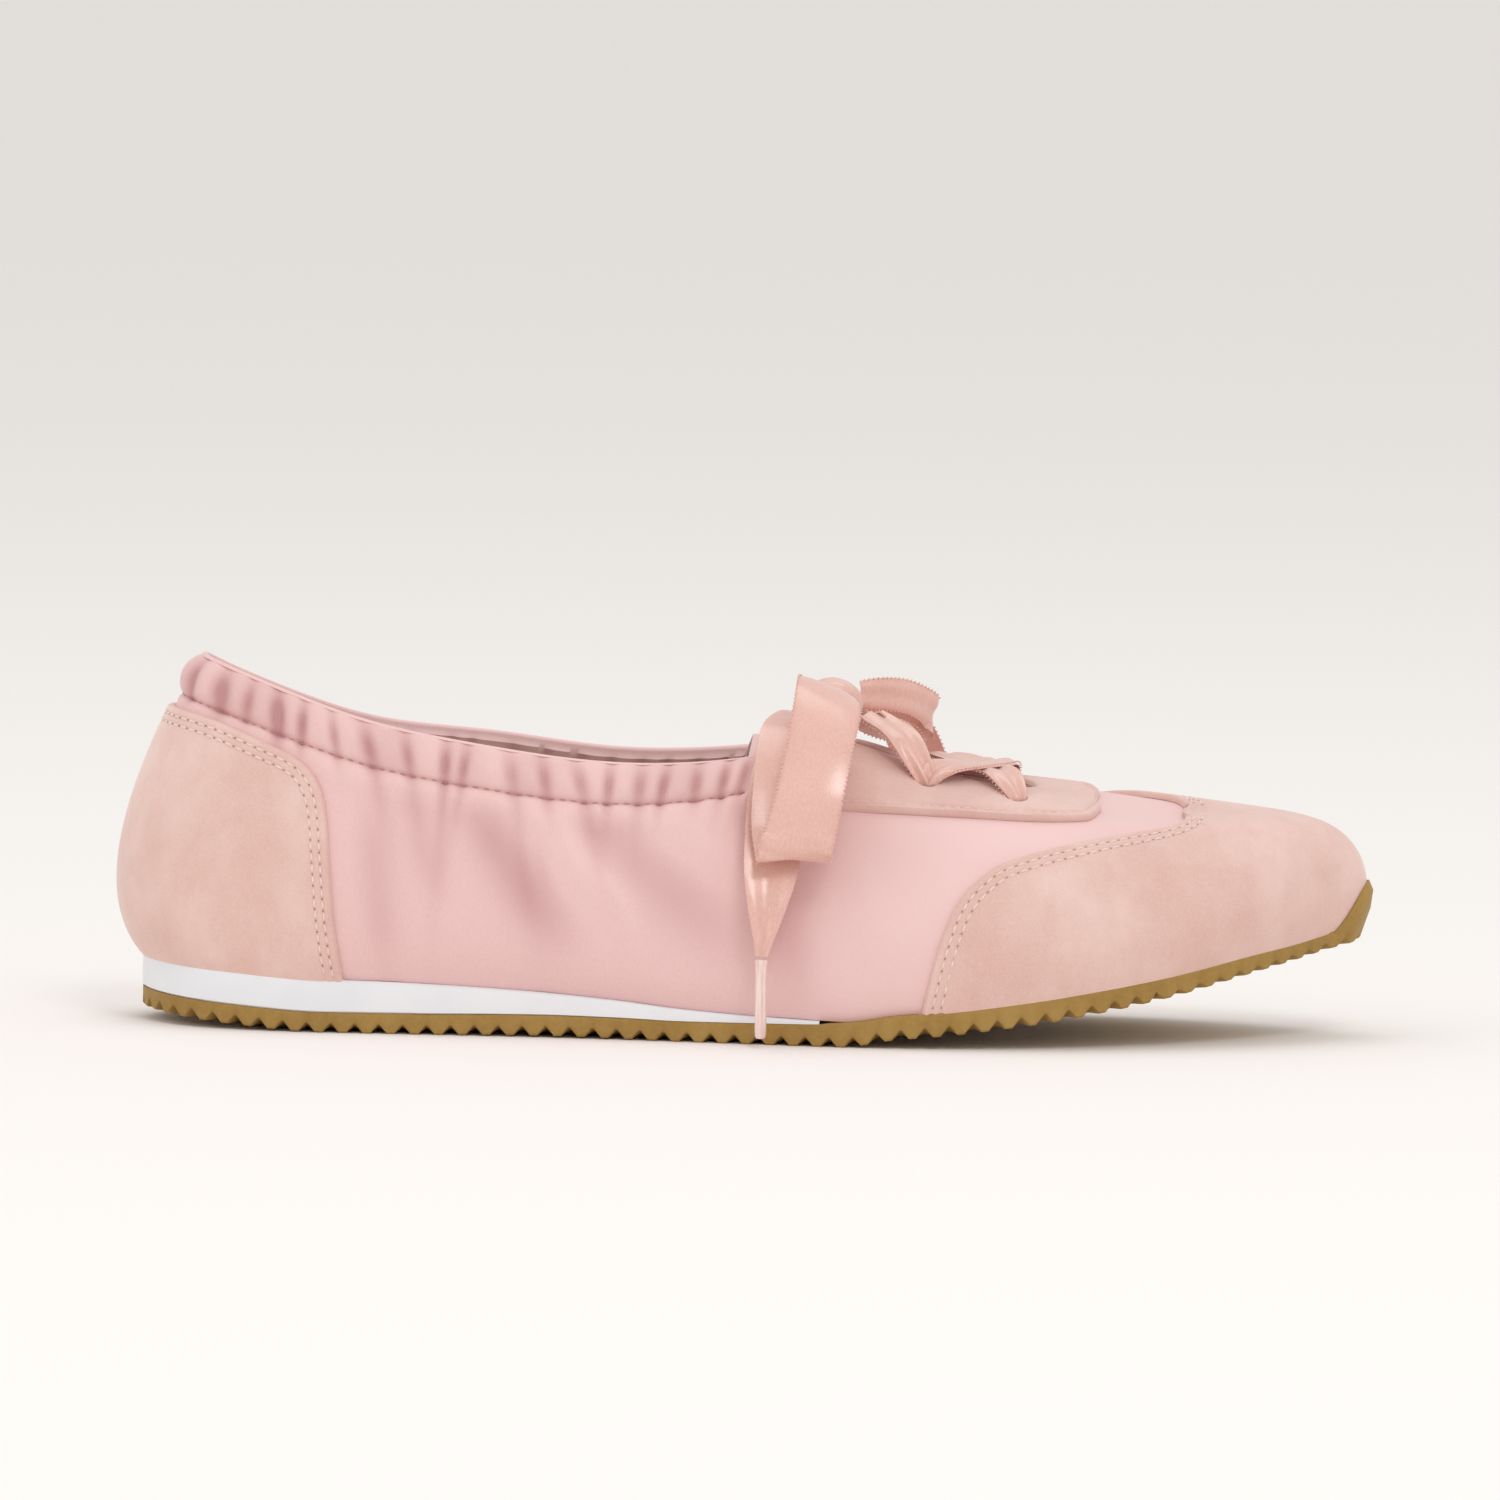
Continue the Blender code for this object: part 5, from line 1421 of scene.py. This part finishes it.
def make_outsole():
    teeth = round(feather_run()[1][-1] / TOOTH_PITCH)
    marks = [(k + part) / teeth for k in range(teeth) for part in TOOTH_MARKS] + [1.0]
    turns = sole_turns(marks)
    rings = []
    tones = []
    for i, pair in enumerate(zip(turns(False), turns(True))):
        half = []
        deep = notch(TOOTH_MARKS[i % len(TOOTH_MARKS)])
        # Painted shade under the tread and in the notches between the teeth, deepest in the root
        tone = [0.2, 0.5 * deep, 0.8 * deep, 0.35 * deep] + [0.0] * 7
        for turn in pair:
            share = toe_share(turn)
            wrap = min(1, share * BUMPER_SWELL)
            foot = foot_of(turn)
            edge, out = sole_edge(turn, EDGE + (BUMPER_OUT - EDGE) * wrap)
            root = TOOTH_DEPTH * deep * (TOE_TOOTH_SHARE if foot.x > LENGTH * TOE_TEETH else 1)
            low = Vector((edge.x, edge.y, tread(foot.x) + root))
            bottom = low - out * SOLE_BEVEL
            side = low + Vector((0, 0, SOLE_BEVEL))
            valley = edge - out * TOOTH_REACH
            valley.z = tread(valley.x)
            halfway = (bottom + valley) / 2
            rise = BUMPER_RISE * max(0, (share - BUMPER_START) / (1 - BUMPER_START)) ** BUMPER_CURVE
            if rise > 0:
                outer_side, inner_side = bumper(turn, rise, wrap)
            else:
                corner = Vector((edge.x, edge.y, floor_of_gum(foot.x) + GAP - SEALED))
                outer_side = [corner] * 2 + [corner - out * SOLE_BEVEL / 2 + Vector((0, 0, 0.0001))]
                inner_side = [corner - out * 0.001] * 4
            half.append([valley, halfway, bottom, side] + outer_side + inner_side[::-1])
        rings.append([place(p) for p in half[0] + half[1][::-1]])
        tones.append(tone + tone[::-1])
    finish_piece("outsole_gum", *tube(rings), [GUM_LOOK], "gum", ["outsole"], np.ravel(tones), smooth=32)


MIDSOLE_PARTS = 160
# Height up the midsole's side as a share, and how far in it lies there, in millimetres
MIDSOLE_SIDE = ((0.0, 0.50), (0.06, -0.05), (0.5, -0.15), (0.94, -0.05), (1.0, 0.50))


def make_midsole():
    rings = []
    ends = [solve(0, LAST, MIDSOLE_END, lambda s: foot_of(side_turn(flip, s)).x) for flip in (False, True)]
    for i in range(MIDSOLE_PARTS + 1):
        half = []
        for flip, end in zip((False, True), ends):
            turn = side_turn(flip, end * i / MIDSOLE_PARTS)
            foot = foot_of(turn)
            high = foot.z - SEALED
            thick = MIDSOLE_THICKNESS * FOAM(foot.x / LENGTH) + GAP - SEALED
            side = []
            for share, inward in MIDSOLE_SIDE:
                edge = sole_edge(turn, EDGE - inward / 1000)[0]
                side.append(place((edge.x, edge.y, high - thick * (1 - share))))
            half.append(side)
        rings.append(half[0] + half[1][::-1])
    finish_piece("midsole_foam", *tube(rings, [-1]), [FOAM_LOOK], "foam", ["midsole"], smooth=35)


# How far in and how high, from the upper's foot, in metres
SOCK_SIDE = ((0, 0), (0, 0.0024), (0.0008, 0.003), (0.006, 0.0029))


def make_insole():
    turns = sole_turns(steps(0, 1, 90))
    rings = []
    for pair in zip(turns(False), turns(True)):
        row = []
        for turn in pair:
            low = foot_of(turn).z
            for inward, rise in SOCK_SIDE:
                edge = sole_edge(turn, -(UPPER_WALL + GAP * 2 + inward))[0]
                row.append(place((edge.x, edge.y, low + rise)))
        rings.append(row[:4] + row[:3:-1])
    spots = np.array(rings)
    faces = grid_faces(*spots.shape[:2])
    finish_piece("insole_sock", spots.reshape(-1, 3), faces, [LINING], "lining", ["insole"])


# Painted shade over the tongue, which lies in the throat under the laces
TONGUE_SHADE = 0.15


def make_tongue():
    """A padded sheet under the throat, with a rolled rear edge."""
    inside = UPPER_WALL + GAP * 3
    columns = []
    rear = station_at_top(TONGUE_REAR)
    front = station_at_top(TONGUE_FRONT)
    stations = steps(rear, front, 60)
    for s in stations:
        row = []
        for turn in (s, TURNS - s):
            edge = share_below_top(turn, TONGUE_OVERLAP)
            row.append([(turn, v) for v in steps(edge, 1, 8) + steps(1, 2, 8)[1:]])
        columns.append(row[0] + row[1][-2::-1])
    spots, facing = sheet(columns)
    rear_away = np.linalg.norm(spots - spots[:1], axis=-1)
    lift = 0.0004 * trough(rear_away, 0.002, 0.0016)
    top = spots - facing * (inside - lift)[..., None]
    below = top - np.array((0, 0, TONGUE_THICKNESS))
    whole = np.concatenate([top, below[:, ::-1]], axis=1)
    points, faces = tube(whole, [0, -1])
    marks = np.full(len(points), TONGUE_SHADE)
    finish_piece("tongue_satin", points, faces, [SATIN], "lining", ["tongue"], marks, smooth=50)


# Ribbon
RIBBON_WIDTH = 0.015
RIBBON_SHEET = 0.00045
PICOT_PITCH = 0.0010
PICOT = 0.00022
PLEAT = 0.0012
# Painted shade in a pleat's hollow and on the ribbon's back face, which shows inside the loops
HOLLOW_SHADE = 0.55
BACK_SHADE = 0.22


def through(rows, parts):
    """A smooth curve through rows of numbers, parts steps between two rows."""
    rows = np.array(rows, float)
    padded = np.vstack([2 * rows[0] - rows[1], rows, 2 * rows[-1] - rows[-2]])
    found = []
    for i in range(1, len(padded) - 2):
        a, b, c, d = padded[i - 1:i + 3]
        for k in range(parts):
            t = k / parts
            bend = 2 * a - 5 * b + 4 * c - d
            twist = 3 * b - a - 3 * c + d
            found.append(0.5 * (2 * b + (c - a) * t + bend * t**2 + twist * t**3))
    found.append(rows[-1])
    return np.array(found)


def ribbon_rows(rows, parts=16):
    """Middles, across and up directions and widths along a ribbon."""
    line = through(rows, parts)
    middles = line[:, :3] - HEEL_SHIFT
    run = np.gradient(middles, axis=0)
    run /= np.linalg.norm(run, axis=1)[:, None]
    across = line[:, 3:6]
    across = across - run * np.sum(across * run, axis=1)[:, None]
    across /= np.linalg.norm(across, axis=1)[:, None]
    return middles, across, np.cross(across, run), line[:, 6]


def ribbon(name, rows, nodes=(), cup=0.0, pleat=1.0, cells=18):
    """A satin ribbon with picots along both edges.

    It pleats where it is narrower than its woven width.
    """
    middles, across, up, widths = ribbon_rows(rows)
    shares = np.linspace(-1, 1, cells + 1)
    run = run_along(middles)
    layers = []
    tones = []
    for side in (1, -1):
        spots = []
        tone = []
        for i, middle in enumerate(middles):
            half = widths[i] / 2
            spare = max(0.0, 1 - widths[i] / RIBBON_WIDTH)
            folds_in = pleat * spare * PLEAT * np.cos(shares * math.pi * 1.8 + 0.7 * math.sin(run[i] * 170))
            folds_in = folds_in * (1 - 0.3 * np.abs(shares)) * min(1.0, widths[i] / 0.005)
            bend = cup * widths[i] * (shares**2 - 0.35)
            raise_by = folds_in + bend + side * RIBBON_SHEET / 2 * (1 - 0.6 * np.abs(shares) ** 8)
            spots.append(middle + across[i] * (shares * half)[:, None] + up[i] * raise_by[:, None])
            # Painted shade in the pleats' hollows and over the whole back face
            hollow = -side * folds_in / PLEAT
            tone.append(HOLLOW_SHADE * np.clip(hollow, 0, 1) + (BACK_SHADE if side < 0 else 0))
        layers.append(np.array(spots))
        tones.append(np.array(tone))
    whole = np.concatenate([layers[0], layers[1][:, ::-1]], axis=1)
    marks = np.concatenate([tones[0], tones[1][:, ::-1]], axis=1)
    points, faces = tube(whole, [0, -1])
    points = list(points)
    tones = list(marks.ravel())
    for sign in (-1, 1):
        for at in np.arange(PICOT_PITCH, run[-1] - PICOT_PITCH, PICOT_PITCH):
            spot, over, lift = (between(at, run, values) for values in (middles, across, up))
            knot_at = spot + over * sign * np.interp(at, run, widths) / 2
            add_stitch(points, faces, (knot_at - over * PICOT, knot_at + over * PICOT), lift, PICOT * 0.75, 0)
            tones += [0.0] * (len(points) - len(tones))
    made = finish_piece(name, points, faces, [RIBBON], "ribbon", nodes, np.array(tones), smooth=60)
    return made, [tuple(p) for p in middles[::8]], run[-1]


KNOT_RINGS = 48
KNOT_SPOKES = 96


def make_knot():
    """The bow's knot: a ball with pleats pressed into it."""
    middle = np.array(KNOT) - HEEL_SHIFT
    size = np.array(KNOT_SIZE) / 2
    rings = []
    tones = []
    for tilt in steps(0, math.pi, KNOT_RINGS):
        ring = []
        for angle in steps(0, math.tau, KNOT_SPOKES)[:-1]:
            pleat = 0.05 * math.sin(3 * angle + 2 * tilt) + 0.035 * math.sin(9 * tilt + 1.5 * math.sin(angle))
            grow = 1 + pleat * math.sin(tilt)
            level = math.sin(tilt)
            facing = np.array((level * math.cos(angle), math.cos(tilt), level * math.sin(angle)))
            ring.append(middle + size * facing * grow)
            # Painted shade over the knot, deeper in its pleats' hollows
            tones.append(0.25 - 4.0 * pleat)
        rings.append(ring)
    marks = np.array(tones)
    finish_piece("bow_knot_ribbon", *tube(rings), [RIBBON], "ribbon", ["bow_knot"], marks, smooth=60)


TIP_SPOKES = 32
TIP_FLUTE = 0.035
# Place down a tip and width there, as shares
TIP_RINGS = (
    (0, 0), (0, 0.6), (0.01, 0.95), (0.03, 1), (0.06, 0.93), (0.9, 0.86), (0.96, 0.8), (0.99, 0.62), (1, 0)
)


def make_aglet(name, rows, node):
    """A clear tip: film rolled over the ribbon's end, pinched at its foot."""
    end = np.array(rows[-1][:3]) - HEEL_SHIFT
    high = end[2] - GAP - RIBBON_THICKNESS / 4
    rings = []
    for share, wide in TIP_RINGS:
        z = high - AGLET_LENGTH * share
        ring = []
        for angle in steps(0, math.tau, TIP_SPOKES)[:-1]:
            reach = AGLET / 2 * wide * (1 + TIP_FLUTE * math.cos(5 * angle))
            ring.append((end[0] + reach * math.cos(angle), end[1] + reach * math.sin(angle), z))
        rings.append(ring)
    return finish_piece(name, *tube(rings), [CLEAR], "clear_tip", [node], smooth=60)


def make_bow():
    make_knot()
    for side, loop_rows, end_rows, wide in (
        ("near", LOOP_NEAR, END_NEAR, 0.0130), ("far", LOOP_FAR, END_FAR, 0.0066),
    ):
        made, path, length = ribbon(f"bow_loop_{side}_ribbon", loop_rows, [f"bow_loop_{side}"], 0.04, 0.3)
        tip = make_aglet(f"aglet_{side}_clear", end_rows, f"aglet_{side}")
        made, path, length = ribbon(f"lace_end_{side}_ribbon", end_rows, [f"lace_end_{side}"], -0.06, 0.35)


UNDER_EYELET = 0.0016  # a ribbon starts this far inside an eyelet's face
OVER_EYELET = 0.0012
ABOVE_EYELET = 0.003
BELOW_KNOT = 0.002
# Share of the way from eyelet to knot, and the ribbon's width there
KNOT_STRAND = ((0.35, 0.0075), (0.7, 0.0085), (0.92, 0.0065))


def from_eyelet(index, toward, width=0.0042):
    """Two rows that lead a ribbon out of an eyelet."""
    middle, out = EYELETS[index]
    base = np.array(middle) + HEEL_SHIFT
    up = np.array(out)
    return [(*(base - up * UNDER_EYELET), *toward, width * 0.8), (*(base + up * OVER_EYELET), *toward, width)]


LACE_CUP = 0.05
LACE_PLEAT = 0.9
STRANDS = (
    # crossing, eyelet at its start, eyelet at its end, node
    (0, 4, 3, ["lace_cross_front"]),
    (1, 5, 2, []),
    (2, 2, None, ["lace_cross_rear"]),
    (3, 3, None, []),
)


def knot_strand(index):
    """Rows of the ribbon that leaves a top eyelet for the knot."""
    middle, out = EYELETS[index]
    base = np.array(middle) + HEEL_SHIFT + np.array(out) * ABOVE_EYELET
    knot = np.array(KNOT) - np.array((0, 0, BELOW_KNOT))
    rows = from_eyelet(index, (1.0, 0.0, 0.0))
    for share, wide in KNOT_STRAND:
        rows.append((*(base + (knot - base) * share), 1.0, 0.0, 0.0, wide))
    return rows


def make_lacing():
    for index in (0, 1):
        ribbon(f"lace_strand_{index + 5}", knot_strand(index), [], LACE_CUP, LACE_PLEAT)
    for which, first, last, node in STRANDS:
        rows = CROSSINGS[which]
        full = from_eyelet(first, rows[0][3:6]) + rows[1:]
        if last is not None:
            full = full[:-1] + from_eyelet(last, rows[-1][3:6])[::-1]
        ribbon(f"lace_strand_{which + 1}", full, node, LACE_CUP, LACE_PLEAT)


FLOOR_REACH = 60.0


def make_stage():
    """A wide pale floor, open all round, so the shoe can be seen from every side."""
    look = Look("pale_floor", Roughness=0.9, Specular_IOR_Level=0.1)
    reach = FLOOR_REACH
    points = [(-reach, -reach, 0), (reach, -reach, 0), (reach, reach, 0), (-reach, reach, 0)]
    mesh = bpy.data.meshes.new("floor")
    mesh.from_pydata(points, [], [(0, 1, 2, 3)])
    mesh.materials.append(look.done((0.945, 0.92, 0.9, 1)))
    linked("floor", mesh)


LIGHTS_AIM = Vector((0.08, 0, 0.03))


def area_light(name, at, size, power):
    data = bpy.data.lights.new(name, "AREA")
    data.shape = "DISK"
    data.size = size
    data.energy = power
    made = linked(name, data)
    made.location = at
    made.rotation_mode = "QUATERNION"
    made.rotation_quaternion = (Vector(at) - LIGHTS_AIM).to_track_quat("Z", "Y")


def make_lights():
    bpy.context.scene.view_settings.view_transform = "Standard"
    world = bpy.data.worlds.new("soft_room")
    world.use_nodes = True
    back = world.node_tree.nodes["Background"]
    back.inputs["Color"].default_value = (1.0, 0.985, 0.97, 1)
    back.inputs["Strength"].default_value = 0.80
    bpy.context.scene.world = world
    area_light("key", (0.45, -1.25, 1.45), 0.6, 5.6)
    area_light("top", (0.1, 0.3, 1.7), 1.0, 3.5)
    area_light("side", (-1.3, -0.9, 0.9), 0.8, 1.5)


make_camera()
SATIN = satin_look()
SUEDE = suede_look()
RIBBON = ribbon_look()
GUM_LOOK = gum_look()
FOAM_LOOK = foam_look()
LINING = lining_look()
THREAD = thread_look("thread", (0.800, 0.560, 0.510), (0.950, 0.800, 0.740))
DARK_THREAD = thread_look("dark_thread", (0.400, 0.210, 0.210), (0.540, 0.310, 0.300))
# Dark discs of painted shade in the needle holes
PINHOLE_SHADE = thread_look("pinhole_shade", (0.400, 0.200, 0.165), (0.480, 0.260, 0.215))
CLEAR = clear_look()
make_bow()
make_lacing()
make_upper()
make_counter()
make_toe_cap()
make_eyestay()
make_tongue()
make_outsole()
make_midsole()
make_insole()
make_stage()
make_lights()
bpy.context.view_layer.update()
